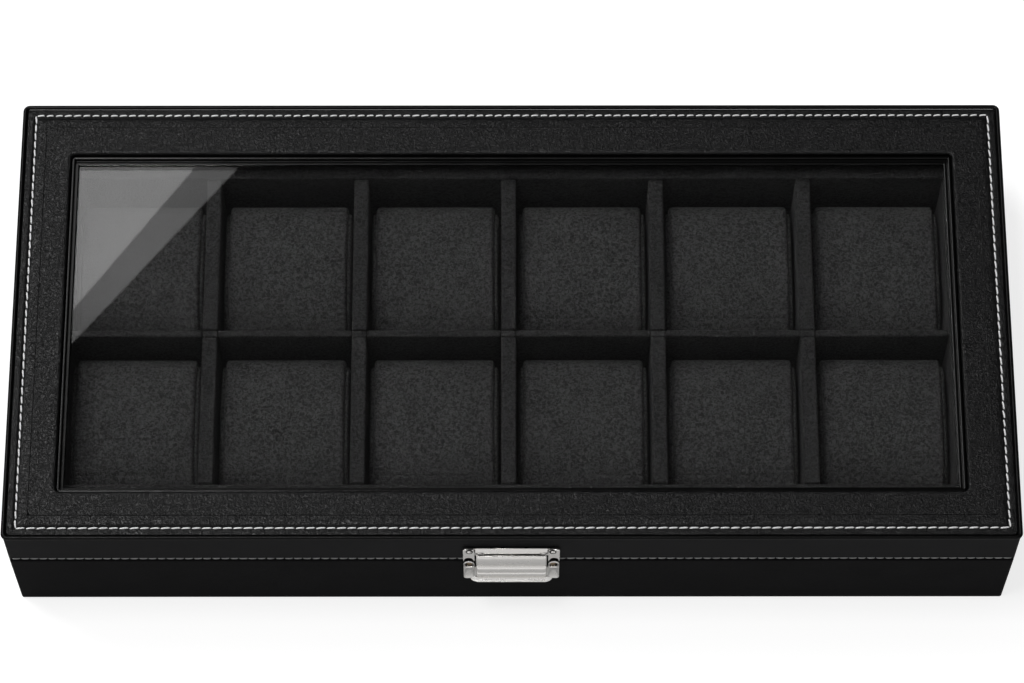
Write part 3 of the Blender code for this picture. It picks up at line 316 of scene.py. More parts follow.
suede = {
    "pillowDark": (0.0045, 0.0045, 0.0045), "pillowLight": (0.0330, 0.0329, 0.0330),
    "trayDark": (0.0032, 0.0032, 0.0032), "trayLight": (0.0205, 0.0205, 0.0206),
    "fibres": 1000.0, "relief": 0.00016,
}
suedeSurface = {"Roughness": 1.0, "Specular IOR Level": 0.0, "Sheen Weight": 0.015, "Sheen Roughness": 0.4}
pillowSuede = tonedMaterial("pillowSuede", nap, {"Fibres": suede["fibres"], "Clouds": 110.0}, suede["pillowDark"],
        suede["pillowLight"],
        suede["relief"], suedeSurface)
traySuede = tonedMaterial("traySuede", nap, {"Fibres": suede["fibres"], "Clouds": 160.0}, suede["trayDark"], suede["trayLight"],
        suede["relief"], suedeSurface)
liningSuede = tonedMaterial("liningSuede", nap, {"Fibres": 1700.0, "Clouds": 90.0}, suede["trayDark"], suede["trayLight"],
        0.00009, suedeSurface)
feltBlack = tonedMaterial("feltBlack", nap, {"Fibres": 1100.0, "Clouds": 60.0}, (0.008, 0.008, 0.008), (0.024, 0.024, 0.025),
        0.0002, {"Roughness": 1.0, "Specular IOR Level": 0.02})
rawBoard = tonedMaterial("rawBoard", nap, {"Fibres": 900.0, "Clouds": 200.0}, (0.20, 0.14, 0.09), (0.38, 0.28, 0.19),
        0.00005, {"Roughness": 0.85})
whiteThread = tonedMaterial("whiteThread", nap, {"Fibres": 3200.0, "Clouds": 900.0}, (0.52, 0.52, 0.52), (0.90, 0.90, 0.90),
        0.00003, {"Roughness": 0.75, "Sheen Weight": 0.1})
greyThread = tonedMaterial("greyThread", nap, {"Fibres": 3200.0, "Clouds": 900.0}, (0.34, 0.34, 0.34), (0.62, 0.62, 0.62),
        0.00003, {"Roughness": 0.75, "Sheen Weight": 0.1})


def platedMaterial(name, colour, roughness, lineCount, relief):
    material, tree, shader = newMaterial(name, {"Base Color": (*colour, 1), "Metallic": 1.0})
    place = addNode(tree, "ShaderNodeTexCoord").outputs["Object"]
    effect = addNode(tree, "ShaderNodeGroup", node_tree=brush)
    tree.links.new(place, effect.inputs["Place"])
    effect.inputs["Lines"].default_value = lineCount
    rough = addNode(tree, "ShaderNodeMapRange", {"Value": effect.outputs["Smudge"], "To Min": roughness - 0.05,
            "To Max": roughness + 0.07})
    bump = addNode(tree, "ShaderNodeBump", {"Height": effect.outputs["Height"], "Distance": relief, "Strength": 1.0})
    tree.links.new(rough.outputs["Result"], shader.inputs["Roughness"])
    tree.links.new(bump.outputs[0], shader.inputs["Normal"])
    return material


nickelPlate = platedMaterial("nickelPlate", (0.68, 0.665, 0.645), 0.27, 2600.0, 0.000006)
pinSteel = platedMaterial("pinSteel", (0.45, 0.44, 0.43), 0.34, 2000.0, 0.000006)
darkBrass = platedMaterial("darkBrass", (0.20, 0.15, 0.10), 0.42, 1500.0, 0.00001)
# a dark plated colour used only for the painted shade rings round the clasp screws
screwShadeDark = platedMaterial("screwShadeDark", (0.03, 0.028, 0.026), 0.5, 1500.0, 0.00001)
trimGloss = platedMaterial("trimGloss", (0.001, 0.001, 0.001), 0.18, 900.0, 0.000002)
trimGloss.node_tree.nodes["Principled BSDF"].inputs["Metallic"].default_value = 0.0
trimGloss.node_tree.nodes["Principled BSDF"].inputs["Specular IOR Level"].default_value = 0.22

# clear glass that lets the lamps through to what lies below
clearGlass, glassTree, glassShader = newMaterial("clearGlass",
        {"Base Color": (0.985, 0.985, 0.985, 1), "Roughness": 0.0, "IOR": 1.5,
        "Transmission Weight": 1.0})
path = addNode(glassTree, "ShaderNodeLightPath")
through = addNode(glassTree, "ShaderNodeBsdfTransparent", {"Color": (0.95, 0.95, 0.95, 1)})
glassMix = addNode(glassTree, "ShaderNodeMixShader",
        {0: path.outputs["Is Shadow Ray"], 1: glassShader.outputs[0], 2: through.outputs[0]})
glassTree.links.new(glassMix.outputs[0], glassTree.nodes["Material Output"].inputs["Surface"])
print("materials done")


# ---- covered lid and base ----

_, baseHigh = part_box("base_wrap")
lidLow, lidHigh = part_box("lid_wrap")
glassLow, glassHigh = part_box("lid_glass")
windowShift = (glassLow.y + glassHigh.y) / 2

lidPad = {
    "window": (0.1705, 0.07035, 0.0016),   # half width, half depth and corner of the window in the pad
    "outline": [  # share from the outside to the window, inset and height in mm
        (0, 1.78, 60.40), (0, 1.76, 61.60), (0, 1.80, 62.24), (0, 1.98, 62.48), (0, 2.40, 62.58), (0, 3.75, 62.62),
        (0, 4.20, 62.48), (0, 4.50, 62.16), (0, 4.90, 62.00), (0, 5.30, 62.16), (0, 5.60, 62.50), (0, 6.20, 62.78),
        (0, 7.40, 62.94), (0, 9.60, 63.00), (0.5, 0.0, 63.00), (1, -3.2, 62.98), (1, -1.7, 63.00), (1, -1.0, 62.96),
        (1, -0.55, 62.82), (1, -0.26, 62.52), (1, -0.14, 62.10), (1, -0.12, 61.40), (1, -0.12, 60.40)],
}
outline = throughPoints(lidPad["outline"], 4)
under = np.stack([np.linspace(1, 0, 9)[1:-1], np.linspace(-0.12, 1.90, 9)[1:-1], np.full(7, 60.35)], -1)
outerFrame = (0.19, 0.0906, 0.0034, 0.0)
windowFrame = (*lidPad["window"], windowShift)
padTop = frameSweep("lidPadLeather", np.concatenate([outline, under]), outerFrame, windowFrame, (90, 44), 8)
finishPiece(padTop, "lid", padLeather, ["lid_pad"])

bead = {"radius": 0.82, "height": 62.14, "around": 20}
turn = np.linspace(0, 2 * np.pi, bead["around"], endpoint=False)
ripple = 1 + 0.02 * np.cos(3 * turn)
beadSection = np.stack([0 * turn, bead["radius"] - bead["radius"] * ripple * np.cos(turn),
        bead["height"] + bead["radius"] * ripple * np.sin(turn)], -1)
beadRing = frameSweep("lidBead", beadSection, (0.1901, 0.09078, 0.0026, 0.00018), windowFrame, (90, 44), 10)
finishPiece(beadRing, "lid", beadLeather, ["lid_piping"])


def coverSection(bottom, top, edges, reach, thickness, crease=None):
    # the outside of a covered wall, from the turned-in lip at the bottom to the one at the top, and back inside.
    # Each edge is a quarter circle; a crease is a shallow cosine dip that the stitches sit in
    lowEdge, highEdge = edges
    quarter = np.linspace(0, np.pi / 2, 7)
    low = np.stack([lowEdge * (1 - np.sin(quarter)), bottom + lowEdge * (1 - np.cos(quarter))], -1)
    high = np.stack([highEdge * (1 - np.cos(quarter)), top - highEdge * (1 - np.sin(quarter))], -1)
    wallHeights = np.linspace(low[-1, 1], high[0, 1], 26)[1:-1]
    if crease:
        wallHeights = np.sort(np.concatenate([wallHeights, crease[0] + np.linspace(-1, 1, 9) * crease[1]]))
    wall = np.stack([np.zeros(len(wallHeights)), wallHeights], -1)
    outside = np.concatenate([[[reach, bottom]], low, wall, high])
    if crease:
        away = np.clip(np.abs(outside[:, 1] - crease[0]) / crease[1], 0, 1)
        outside[:, 0] += crease[2] * 0.5 * (1 + np.cos(np.pi * away))
    inside = np.array([[thickness, top - 0.2], [thickness, bottom + thickness], [reach, bottom + thickness]])
    if top < 45:
        inside = np.concatenate([[[reach, top], [reach, top - thickness], [thickness, top - thickness]], inside[1:]])
    section = np.concatenate([outside, inside])
    return np.concatenate([np.zeros((len(section), 1)), section], 1)


cover = {"corner": 0.0010, "thickness": 0.9, "reach": 9.2, "lidEdge": 0.9, "baseEdge": 0.9, "footEdge": 0.35, "foot": 0.06,
        "stitchHeight": 40.2, "creaseWidth": 0.8, "creaseDepth": 0.20}
wallFrame = (lidHigh.x + 0.6 * mm, lidHigh.y, cover["corner"], 0.0)
footFrame = (baseHigh.x, baseHigh.y + 0.5 * mm, cover["corner"], 0.0)
lidSection = coverSection(lidLow.z / mm, lidHigh.z / mm, (cover["lidEdge"], 0.3), cover["reach"], cover["thickness"],
        (cover["stitchHeight"], cover["creaseWidth"], cover["creaseDepth"]))
lidCover = frameSweep("lidSideLeather", lidSection, wallFrame, wallFrame, (60, 30), 8)
finishPiece(lidCover, "lid", sideLeather, ["lid_wrap"])
baseSection = coverSection(cover["foot"], baseHigh.z / mm, (cover["footEdge"], cover["baseEdge"]), cover["reach"],
        cover["thickness"])
baseSection[:, 0] = 1 - baseSection[:, 2] / (baseHigh.z / mm)   # the walls lean a little from the seam to the foot
baseCover = frameSweep("baseSideLeather", baseSection, wallFrame, footFrame, (60, 30), 8)
finishPiece(baseCover, "case", baseLeather, ["base_wrap"])
# painted shade: a matt black strip on the wall under the bead, standing in for the shadow that the bead casts there
beadShadowStrip = {"out": 0.07, "low": 58.9, "high": 61.4}
beadShadowSection = np.array([(0, -beadShadowStrip["out"], beadShadowStrip["low"]), (0, -beadShadowStrip["out"], beadShadowStrip["high"]), (0, 1.0, beadShadowStrip["high"]),
        (0, 1.0, beadShadowStrip["low"])])
beadShadowRing = frameSweep("lidBeadShadowStrip", beadShadowSection, wallFrame, wallFrame, (2, 2), 6)
finishPiece(beadShadowRing, "lid", feltBlack)
print("covers done")


# ---- stitches ----

def stitchRow(name, starts, ends, normals, sets, slants, pitches):
    # stitches laid along straight lines: each is a short round thread whose ends dip by a cosine into the leather
    ring = np.linspace(0, 2 * np.pi, 7)[:-1]
    along = np.linspace(-1, 1, 8)
    radius = sets["radius"] * np.sqrt(np.clip(1 - np.abs(along) ** 6, 0.02, 1))
    lift = sets["arch"] * (np.cos(along * np.pi / 2) - 1)
    local = np.stack([
        np.broadcast_to((along * sets["length"] / 2)[:, None], (8, 6)),
        radius[:, None] * np.cos(ring)[None],
        radius[:, None] * np.sin(ring)[None] + lift[:, None] + sets["lift"]], -1).reshape(-1, 3)
    faceSets = [gridFaces(8, 6, False, True), np.arange(6)[None, ::-1], 42 + np.arange(6)[None]]
    pieces = []
    for start, end, normal, slant, pitch in zip(starts, ends, normals, slants, pitches):
        start, end, normal = (np.array(v, float) for v in (start, end, normal))
        length = np.linalg.norm(end - start)
        count = int(round(length / pitch))
        forward = (end - start) / length
        side = np.cross(normal, forward)
        middles = start + forward * (length * (np.arange(count) + 0.5) / count)[:, None]
        turn = np.radians(slant + rng.normal(0, sets["unevenness"], count))
        stretch = pitch / sets["pitch"] * (1 + rng.normal(0, 0.03, count))
        axisX = forward[None] * np.cos(turn)[:, None] + side[None] * np.sin(turn)[:, None]
        axisY = side[None] * np.cos(turn)[:, None] - forward[None] * np.sin(turn)[:, None]
        pieces.append(middles[:, None] + axisX[:, None] * (local[None, :, 0:1] * stretch[:, None, None])
                + axisY[:, None] * local[None, :, 1:2] + normal[None, None] * local[None, :, 2:3])
    points = np.concatenate(pieces)
    count = len(points)
    offset = (np.arange(count) * len(local))[:, None, None]
    return solidMesh(name, points.reshape(-1, 3), [(f[None] + offset).reshape(-1, f.shape[1]) for f in faceSets])


rng = np.random.default_rng(7)
topStitch = {"left": -184.8 * mm, "right": 185.4 * mm, "front": -86.0 * mm, "back": 86.45 * mm, "height": 62.46 * mm,
        "pitch": 4.0 * mm, "length": 3.80 * mm,
        "radius": 0.34 * mm, "arch": 0.32 * mm, "lift": 0.0, "unevenness": 1.2,
        "rows": [3.85 * mm, 3.7 * mm, 3.56 * mm, 3.6 * mm]}
corners = [(topStitch[side], topStitch[end], topStitch["height"]) for side,
        end in (("left", "front"), ("right", "front"), ("right", "back"), ("left", "back"))]
up = (0, 0, 1)
topRow = stitchRow("lidTopStitches", corners, [corners[1], corners[2], corners[3], corners[0]], [up] * 4, topStitch,
        [5, 7, 5, 6], topStitch["rows"])
finishPiece(topRow, "lid", whiteThread)

sideStitch = {"pitch": 3.42 * mm, "length": 3.15 * mm, "radius": 0.27 * mm, "arch": 0.14 * mm, "lift": 0.10 * mm,
        "unevenness": 1.0}
ex, ey, ez = wallFrame[0] - 0.00010, wallFrame[1] - 0.00010, cover["stitchHeight"] * mm
runX, runY = ex - cover["corner"], ey - cover["corner"]
sideStarts = [(-runX, -ey, ez), (ex, -runY, ez), (runX, ey, ez), (-ex, runY, ez)]
sideEnds = [(runX, -ey, ez), (ex, runY, ez), (-runX, ey, ez), (-ex, -runY, ez)]
sideNormals = [(0, -1, 0), (1, 0, 0), (0, 1, 0), (-1, 0, 0)]
sideRow = stitchRow("lidSideStitches", sideStarts, sideEnds, sideNormals, sideStitch, [2, 2, 2, 2], [sideStitch["pitch"]] * 4)
finishPiece(sideRow, "lid", greyThread)
print("stitches done")


# ---- window ----

trim = {"rise": 61.2, "flange": 59.1, "foot": 58.3, "bevel": 0.28, "rootBevel": 0.12}


def roundedStep(points, bevels):
    # corners of a closed section cut by an arc, with a support point at either side so that the flats shade flat
    points = np.array(points, float)
    rows = []
    for k, cut in enumerate(bevels):
        before, here, after = points[k - 1], points[k], points[(k + 1) % len(points)]
        toBefore, toAfter = (before - here) / np.linalg.norm(before - here), (after - here) / np.linalg.norm(after - here)
        t = np.linspace(0, 1, 4)[:, None]
        start, end = here + toBefore * cut, here + toAfter * cut
        arc = (1 - t) ** 2 * start + 2 * t * (1 - t) * here + t ** 2 * end
        rows += [here + toBefore * cut * 1.15, *arc, here + toAfter * cut * 1.15] if cut else [here]
    rows = np.array(rows)
    return np.concatenate([np.zeros((len(rows), 1)), rows], 1)


trimSection = roundedStep([(-0.80, trim["foot"]), (-0.80, trim["flange"]), (0.30, trim["flange"]), (0.30, trim["rise"]),
        (1.30, trim["rise"]),
        (1.30, trim["flange"]), (2.70, trim["flange"]), (2.70, trim["foot"])],
        [0, 0, 0, trim["bevel"], trim["bevel"], trim["rootBevel"], trim["bevel"], 0])
trimRing = frameSweep("windowTrimGloss", trimSection, windowFrame, windowFrame, (2, 2), 8)
finishPiece(trimRing, "lid", trimGloss, ["window_trim"])

for nodeName, material in {
        "lid_glass": clearGlass, "lid_lining": liningSuede, "base_lining": liningSuede, "base_felt": feltBlack}.items():
    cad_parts[nodeName].material_slots[0].material = material
for nodeName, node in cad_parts.items():
    if "_board_" in nodeName:
        node.material_slots[0].material = rawBoard

# suede glued round the inside of the lid, over the boards
wallLining = {"thickness": 0.33, "top": 54.2}
inX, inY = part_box("lid_board_left")[1].x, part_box("lid_board_front")[1].y
t = wallLining["thickness"]
liningSection = np.array([(0, -0.02, 40.2), (0, -0.02, wallLining["top"]), (0, t, wallLining["top"]), (0, t, 39.9),
        (0, t * 0.6, 39.65), (0, 0.0, 39.6)])
liningRing = frameSweep("lidWallSuede", liningSection[::-1], (-inX, -inY, 0.0012, 0.0), windowFrame, (30, 16), 5)
finishPiece(liningRing, "lid", liningSuede)
print("window done")


# ---- tray with its dividers ----

tray = {"edge": 0.75 * mm, "railEdge": 0.8 * mm, "gap": 0.12 * mm, "squareDrop": 0.35 * mm, "squareInset": 0.1 * mm}
for side in ("front", "back", "left", "right"):
    low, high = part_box("insert_rail_" + side)
    rail = loftMesh("trayRail_" + side, softBlock(low, high, tray["railEdge"]))
    finishPiece(rail, "case", traySuede, ["insert_rail_" + side])

longLow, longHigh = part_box("insert_divider_long")
crossBoxes = [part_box(f"insert_divider_cross_{k}") for k in range(1, 6)]
starts = [longLow.x] + [high.x + tray["gap"] for low, high in crossBoxes]
ends = [low.x - tray["gap"] for low, high in crossBoxes] + [longHigh.x]
longBlocks = [softBlock((a, longLow.y, longLow.z), (b, longHigh.y, longHigh.z), tray["edge"]) for a, b in zip(starts, ends)]
finishPiece(joinRings("trayDividerLong", longBlocks), "case", traySuede, ["insert_divider_long"])
for k, (low, high) in enumerate(crossBoxes, 1):
    g, inset = tray["gap"], tray["squareInset"]
    blocks = [
        softBlock(low, (high.x, longLow.y - g, high.z), tray["edge"]),
        softBlock((low.x + inset, longLow.y + inset, low.z),
            (high.x - inset, longHigh.y - inset, high.z - tray["squareDrop"]), tray["edge"] * 0.6),
        softBlock((low.x, longHigh.y + g, low.z), high, tray["edge"]),
    ]
    finishPiece(joinRings(f"trayDividerCross_{k}", blocks), "case", traySuede, [f"insert_divider_cross_{k}"])
print("tray done")


# ---- pillows ----

pillow = {
    "powerFront": 2.4, "powerBack": 3.8, "crown": 0.5, "sag": 0.5,
    "crownEnd": 0.92, "crownPower": 2.5, "flatEnd": 0.9, "waveHeight": (0.04, 0.10), "waveCount": (0.6, 2.2),
    # distance from the middle in mm, and how far in the outline lies there, in mm
    "stations": [(25.0, 9.0), (24.98, 5.4), (24.85, 3.9), (24.5, 2.9), (24.05, 2.45), (23.7, 2.5), (23.45, 2.8), (23.35, 1.8),
        (23.15, 0.85), (22.75, 0.30), (22.0, 0.06), (20.5, 0.0), (17.0, 0.0), (12.0, 0.0), (6.0, 0.0), (0.0, 0.0)],
}


def pillowRings(low, high, seed):
    # outlines of the shape |y|^p + |z|^p = 1, rounder in front, set side by side along x. They shrink at both ends,
    # crowned in the middle of the top, and shifted by a few slow waves so that no two pillows are alike
    rng = np.random.default_rng(seed)
    low, high = np.array(low), np.array(high)
    half, middle = (high - low) / 2, (high + low) / 2
    stations = np.array(pillow["stations"]) * mm
    at = np.concatenate([-stations[:, 0], stations[-2::-1, 0]]) * half[0] / (25.0 * mm)
    inset = np.concatenate([stations[:, 1], stations[-2::-1, 1]])
    square = roundedLoop([[1, 1]], [[0.02] * 4], (26, 18), 2)[0]
    p = np.where(square[:, 0] < 0, pillow["powerFront"], pillow["powerBack"])
    reach = np.max(np.abs(square), 1) / (np.abs(square) ** p[:, None]).sum(1) ** (1 / p)
    unit = square * reach[:, None]
    y = unit[None, :, 0] * (half[1] - inset)[:, None]
    z = unit[None, :, 1] * (half[2] - inset)[:, None]
    u, v = at[:, None] / half[0], y / half[1]
    onTop = np.clip(unit[None, :, 1], 0, 1) ** 3
    bulge = pillow["crown"] * mm * (1 - np.clip(np.abs(u) / pillow["crownEnd"], 0, 1) ** pillow["crownPower"]) * (1 - v ** 2)
    waves = sum(a * np.sin(f * u * 3 + g * v * 3 + h) for a, f, g, h in zip(
        rng.uniform(*pillow["waveHeight"], 4) * mm, rng.uniform(*pillow["waveCount"], 4),
            rng.uniform(*pillow["waveCount"], 4),
            rng.uniform(0, 6.28, 4)))
    z = z - pillow["crown"] * mm * onTop + onTop * (bulge + waves * (np.abs(u) < pillow["flatEnd"]))
    sideDraw = pillow["sag"] * mm * np.abs(z / half[2]) ** 2 * (np.abs(u) > pillow["flatEnd"])
    x = at[:, None] - np.sign(at)[:, None] * sideDraw + 0 * z
    return np.stack([x, y, z], -1) + middle


rows = [f"{row}_{k}" for row in ("front", "back") for k in range(1, 7)]
for number, key in enumerate(rows):
    low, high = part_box("pillow_" + key)
    piece = loftMesh("pillowSuede_" + key, pillowRings(low, high, 40 + number))
    finishPiece(piece, f"pillow_{key}_body", pillowSuede, ["pillow_" + key])
print("pillows done")


# ---- clasp ----

def facingFront(rings):
    # (across, height, out of the wall) becomes x, y, z of the front wall
    return np.stack([rings[..., 0], -rings[..., 2], rings[..., 1]], -1)


clasp = {
    "shift": -0.15,                  # the clasp sits this far off the middle
    # the rolled bar over the flap: its section as distance out and height
    "bar": {"half": 13.5, "profile": [(89.95, 52.15), (90.25, 52.32), (90.5, 52.2), (90.85, 51.78), (91.2, 51.38),
        (91.62, 50.95), (91.88, 50.68), (91.8, 50.45), (91.3, 50.35), (90.3, 50.35),
        (89.95, 51.0)]},
    "axis": (91.8, 50.8),
}


def arcPoints(cx, cy, rx, ry, start, end, count):
    angle = np.radians(np.linspace(start, end, count))
    return np.stack([cx + rx * np.cos(angle), cy + ry * np.sin(angle)], -1)


def insetOutline(outline, inset):
    # moves each point inwards along the mean normal of its two edges
    after = np.roll(outline, -1, 0) - outline
    before = outline - np.roll(outline, 1, 0)
    tangent = after / np.linalg.norm(after, axis=1, keepdims=True) + before / np.linalg.norm(before, axis=1, keepdims=True)
    tangent /= np.linalg.norm(tangent, axis=1, keepdims=True)
    normal = np.stack([-tangent[:, 1], tangent[:, 0]], -1)
    return outline + normal * inset


def frontRings(outline, layers):
    # an anticlockwise outline of the front in mm; each layer is (inset, distance out of the middle of the box)
    rings = [np.concatenate([insetOutline(outline, inset), np.full((len(outline), 1), out)], -1) for inset, out in layers]
    return facingFront(np.stack(rings)) * mm


def mirrorOutline(outline):
    return (outline * [-1, 1])[::-1]


shiftX = clasp["shift"]
earOutline = np.concatenate([
    arcPoints(-17.3, 51.4, 0.9, 0.9, 90, 180, 7), [[-18.2, 46.0]], arcPoints(-17.95, 41.3, 0.25, 0.3, 180, 270, 4),
    [[-17.55, 41.0], [-17.45, 41.9]], arcPoints(-16.1, 42.6, 1.15, 1.5, 170, 10, 9), [[-14.75, 41.9], [-14.65, 41.0]],
    arcPoints(-13.95, 41.3, 0.25, 0.3, 270, 360, 4), [[-13.68, 45.0], [-13.62, 47.3]],
        arcPoints(-14.5, 47.9, 1.05, 4.3, 0, 80, 9)])
sheetOutline = np.array([(-14.2, 45.3), (14.2, 45.3), (14.2, 52.1), (-14.2, 52.1)], float)
faceLayers = [(1.0, 89.85), (0.12, 89.85), (0.0, 90.0), (0.0, 90.75), (0.07, 90.93), (0.22, 91.0), (0.4, 91.0)]
sheetLayers = [(1.5, 89.85), (0.1, 89.85), (0.0, 89.95), (0.0, 90.3), (0.1, 90.4), (0.8, 90.4)]


def shifted(outline):
    return outline + [shiftX, 0]


blocks = [frontRings(shifted(sheetOutline), sheetLayers)]
blocks += [frontRings(shifted(o), faceLayers[1:]) for o in (earOutline, mirrorOutline(earOutline))]
upperPlate = joinRings("claspUpperPlate", blocks)
finishPiece(upperPlate, "lid", nickelPlate, ["latch_plate"])


def holedPlate(outline, hole, layers, count=240):
    # rays from the hole's middle cut both outlines. A layer is (share from outline to hole, inset from whichever is
    # nearer, distance out): a closed section carried round the hole
    centre = hole.mean(0)
    angle = np.linspace(-np.pi, np.pi, count, endpoint=False)

    def reach(shape):
        fine = np.concatenate([shape + (np.roll(shape, -1, 0) - shape) * t for t in np.linspace(0, 1, 40, endpoint=False)])
        away = fine - centre
        order = np.argsort(np.arctan2(away[:, 1], away[:, 0]))
        return np.interp(angle, np.arctan2(away[:, 1], away[:, 0])[order], np.linalg.norm(away, axis=1)[order], period=2 * np.pi)

    outer, inner = reach(outline), reach(hole)
    direction = np.stack([np.cos(angle), np.sin(angle)], -1)
    rings = []
    for share, inset, out in layers:
        radius = outer * (1 - share) + inner * share - inset
        rings.append(np.concatenate([centre + direction * radius[:, None], np.full((count, 1), out)], -1))
    return facingFront(np.stack(rings)) * mm


lowOutline = np.concatenate([
    arcPoints(-15.97, 38.3, 2.1, 2.5, 180, 0, 17)[::-1], [[-18.07, 30.0]], arcPoints(-16.87, 24.8, 1.2, 1.3, 180, 270, 7),
    [[-15.5, 23.5]], arcPoints(-14.2, 23.9, 0.35, 0.4, 270, 360, 4), [[-13.85, 30.0]]])
holeOutline = np.concatenate([arcPoints(-15.97, 38.1, 1.45, 1.75, 180, 0, 13)[::-1],
        arcPoints(-16.9, 35.6, 0.5, 0.5, 180, 270, 5), arcPoints(-15.0, 35.6, 0.5, 0.5, 270, 360, 5)])
holedLayers = [(0, 0.3, 89.85), (0, 0.0, 90.0), (0, 0.0, 90.95), (0, 0.08, 91.13), (0, 0.22, 91.2), (0, 0.50, 91.2),
        (0, 0.62, 91.08),
        (1, -0.60, 91.08), (1, -0.42, 91.2), (1, -0.15, 91.2), (1, 0.0, 91.05), (1, 0.0, 89.85)]
catchBlocks = [holedPlate(shifted(lowOutline), shifted(holeOutline), holedLayers),
        holedPlate(shifted(mirrorOutline(lowOutline)), shifted(mirrorOutline(holeOutline)), holedLayers)]
webOutline = np.array([(-14.2, 23.6), (14.2, 23.6), (14.2, 33.6), (-14.2, 33.6)], float)
catch = joinRings("claspWeb", [frontRings(shifted(webOutline), sheetLayers)])
finishPiece(catch, "case", nickelPlate)
for label, rings in zip(("left", "right"), catchBlocks):
    finishPiece(loftMesh("claspLowEar_" + label, rings, closed=True), "case", nickelPlate, ["catch_plate"])

flap = {
    "half": 12.98, "tabHalf": 15.4, "sheet": 0.4, "columns": 141, "edgeRound": 0.8, "edgeDepth": 0.45,
    "tabTop": 27.6, "tabBlend": 0.5, "tabFrom": 92.3, "tabReach": 1.58, "tabRound": 3.7,
    "dimple": {"across": 10.9, "up": 46.8, "radius": 0.42, "depth": 0.16},
    # height and distance out of the outer face, in mm, after the curl round the pin
    "face": [(50.02, 92.40), (49.75, 92.42), (49.4, 92.66), (48.5, 92.86), (47.2, 92.97), (45.8, 92.97), (44.4, 92.87),
        (43.0, 92.68),
        (41.6, 92.42), (40.3, 92.12), (39.0, 91.78), (38.0, 91.48), (37.5, 91.36), (37.15, 91.44), (36.8, 91.82),
        (36.3, 92.10),
        (35.4, 92.22), (34.2, 92.24), (33.2, 92.12), (32.5, 91.98), (32.05, 91.72), (31.75, 91.64), (31.45, 91.84),
        (31.1, 92.08),
        (30.3, 92.20), (29.0, 92.20), (28.0, 92.12), (27.4, 92.16), (27.05, 92.42), (26.85, 92.80), (26.7, 93.25),
        (26.5, 93.85)],
}
curl = arcPoints(*clasp["axis"], 0.9, 0.9, 16, -48, 9)
profile = np.concatenate([curl, np.array(flap["face"])[:, ::-1]])   # distance out, height
profile = throughPoints(profile, 3)
across = np.linspace(-1, 1, flap["columns"])
# the flap widens into the thumb tab, whose ends are quarter ellipses: half = tab - round (1 - sqrt(1 - t^2))
toTab = np.clip((flap["tabTop"] - profile[:, 1]) / flap["tabBlend"], 0, 1)
toTab = toTab ** 2 * (3 - 2 * toTab)
t = np.clip((profile[:, 0] - flap["tabFrom"]) / flap["tabReach"], 0, 1) * (profile[:, 1] < 27.5)
halfAt = flap["half"] + (flap["tabHalf"] - flap["half"]) * toTab - flap["tabRound"] * (1 - np.sqrt(1 - t ** 2 * 0.96)) * toTab
x = across[None] * halfAt[:, None]
# both long sides turn back by a quarter circle, but for the tab
side = np.clip(1 - (halfAt[:, None] - np.abs(x)) / flap["edgeRound"], 0, 1)
turnBack = flap["edgeDepth"] * (1 - np.sqrt(1 - side ** 2 * 0.98)) * (1 - toTab[:, None])
out = profile[:, 0:1] - turnBack
up = profile[:, 1:2] + 0 * x
dimple = flap["dimple"]
pit = np.exp(-((x - dimple["across"]) ** 2 + ((up - dimple["up"]) * 0.8) ** 2) / dimple["radius"] ** 2)
wave = 0.015 * np.sin(x * 0.55 + 0.8) + 0.012 * np.sin(x * 1.3 + up * 0.4)
out = out - dimple["depth"] * pit + wave * (up < 49) * (up > 28)
flapGrid = np.stack([x + shiftX, -out, up], -1) * mm
flapSheet = makeMesh("claspFlap", flapGrid.reshape(-1, 3), [gridFaces(len(profile), flap["columns"])])
thick = flapSheet.modifiers.new("sheet", "SOLIDIFY")
thick.thickness, thick.offset = flap["sheet"] * mm, -1
finishPiece(flapSheet, "latch", nickelPlate, ["latch_flap"])

turn = np.linspace(0, 2 * np.pi, 33)[:-1]


def turnedRings(start, end, outer, inner, chamfer, axisY, axisZ):
    # rings of a rod or tube along x, chamfered outside at both ends
    x = np.array([start, start, start + chamfer, end - chamfer, end, end])[:, None]
    r = np.array([inner, outer - chamfer, outer, outer, outer - chamfer, inner])[:, None]
    return np.stack([x + 0 * r * turn, axisY + r * np.cos(turn), axisZ + r * np.sin(turn)], -1)


def turnedAlongX(spans, axisY, axisZ):
    return [turnedRings(start, end, radius, radius * 0.5, chamfer, axisY, axisZ) for start, end, radius, chamfer in spans]


barHalf = clasp["bar"]["half"]
barProfile = throughPoints(clasp["bar"]["profile"], 3)
barX = shiftX + np.array([-barHalf, -barHalf, -barHalf + 0.1, barHalf - 0.1, barHalf, barHalf])
barShrink = np.array([0.6, 0.92, 1.0, 1.0, 0.92, 0.6])[:, None, None]
barMiddle = barProfile.mean(0)
barRings = (barProfile - barMiddle)[None] * barShrink + barMiddle
barRings = np.stack([np.broadcast_to(barX[:, None], barRings.shape[:2]), barRings[..., 1], barRings[..., 0]], -1)
finishPiece(loftMesh("claspBar", facingFront(barRings) * mm), "lid", nickelPlate)
axisOut, axisUp = (v * mm for v in clasp["axis"])
latchPin = joinRings("claspPin", turnedAlongX([(-13.6 * mm, -10.6 * mm, 0.42 * mm, 0.08 * mm),
        (10.6 * mm, 13.6 * mm, 0.42 * mm, 0.08 * mm)], -axisOut, axisUp))
finishPiece(latchPin, "lid", pinSteel, ["latch_pin"])


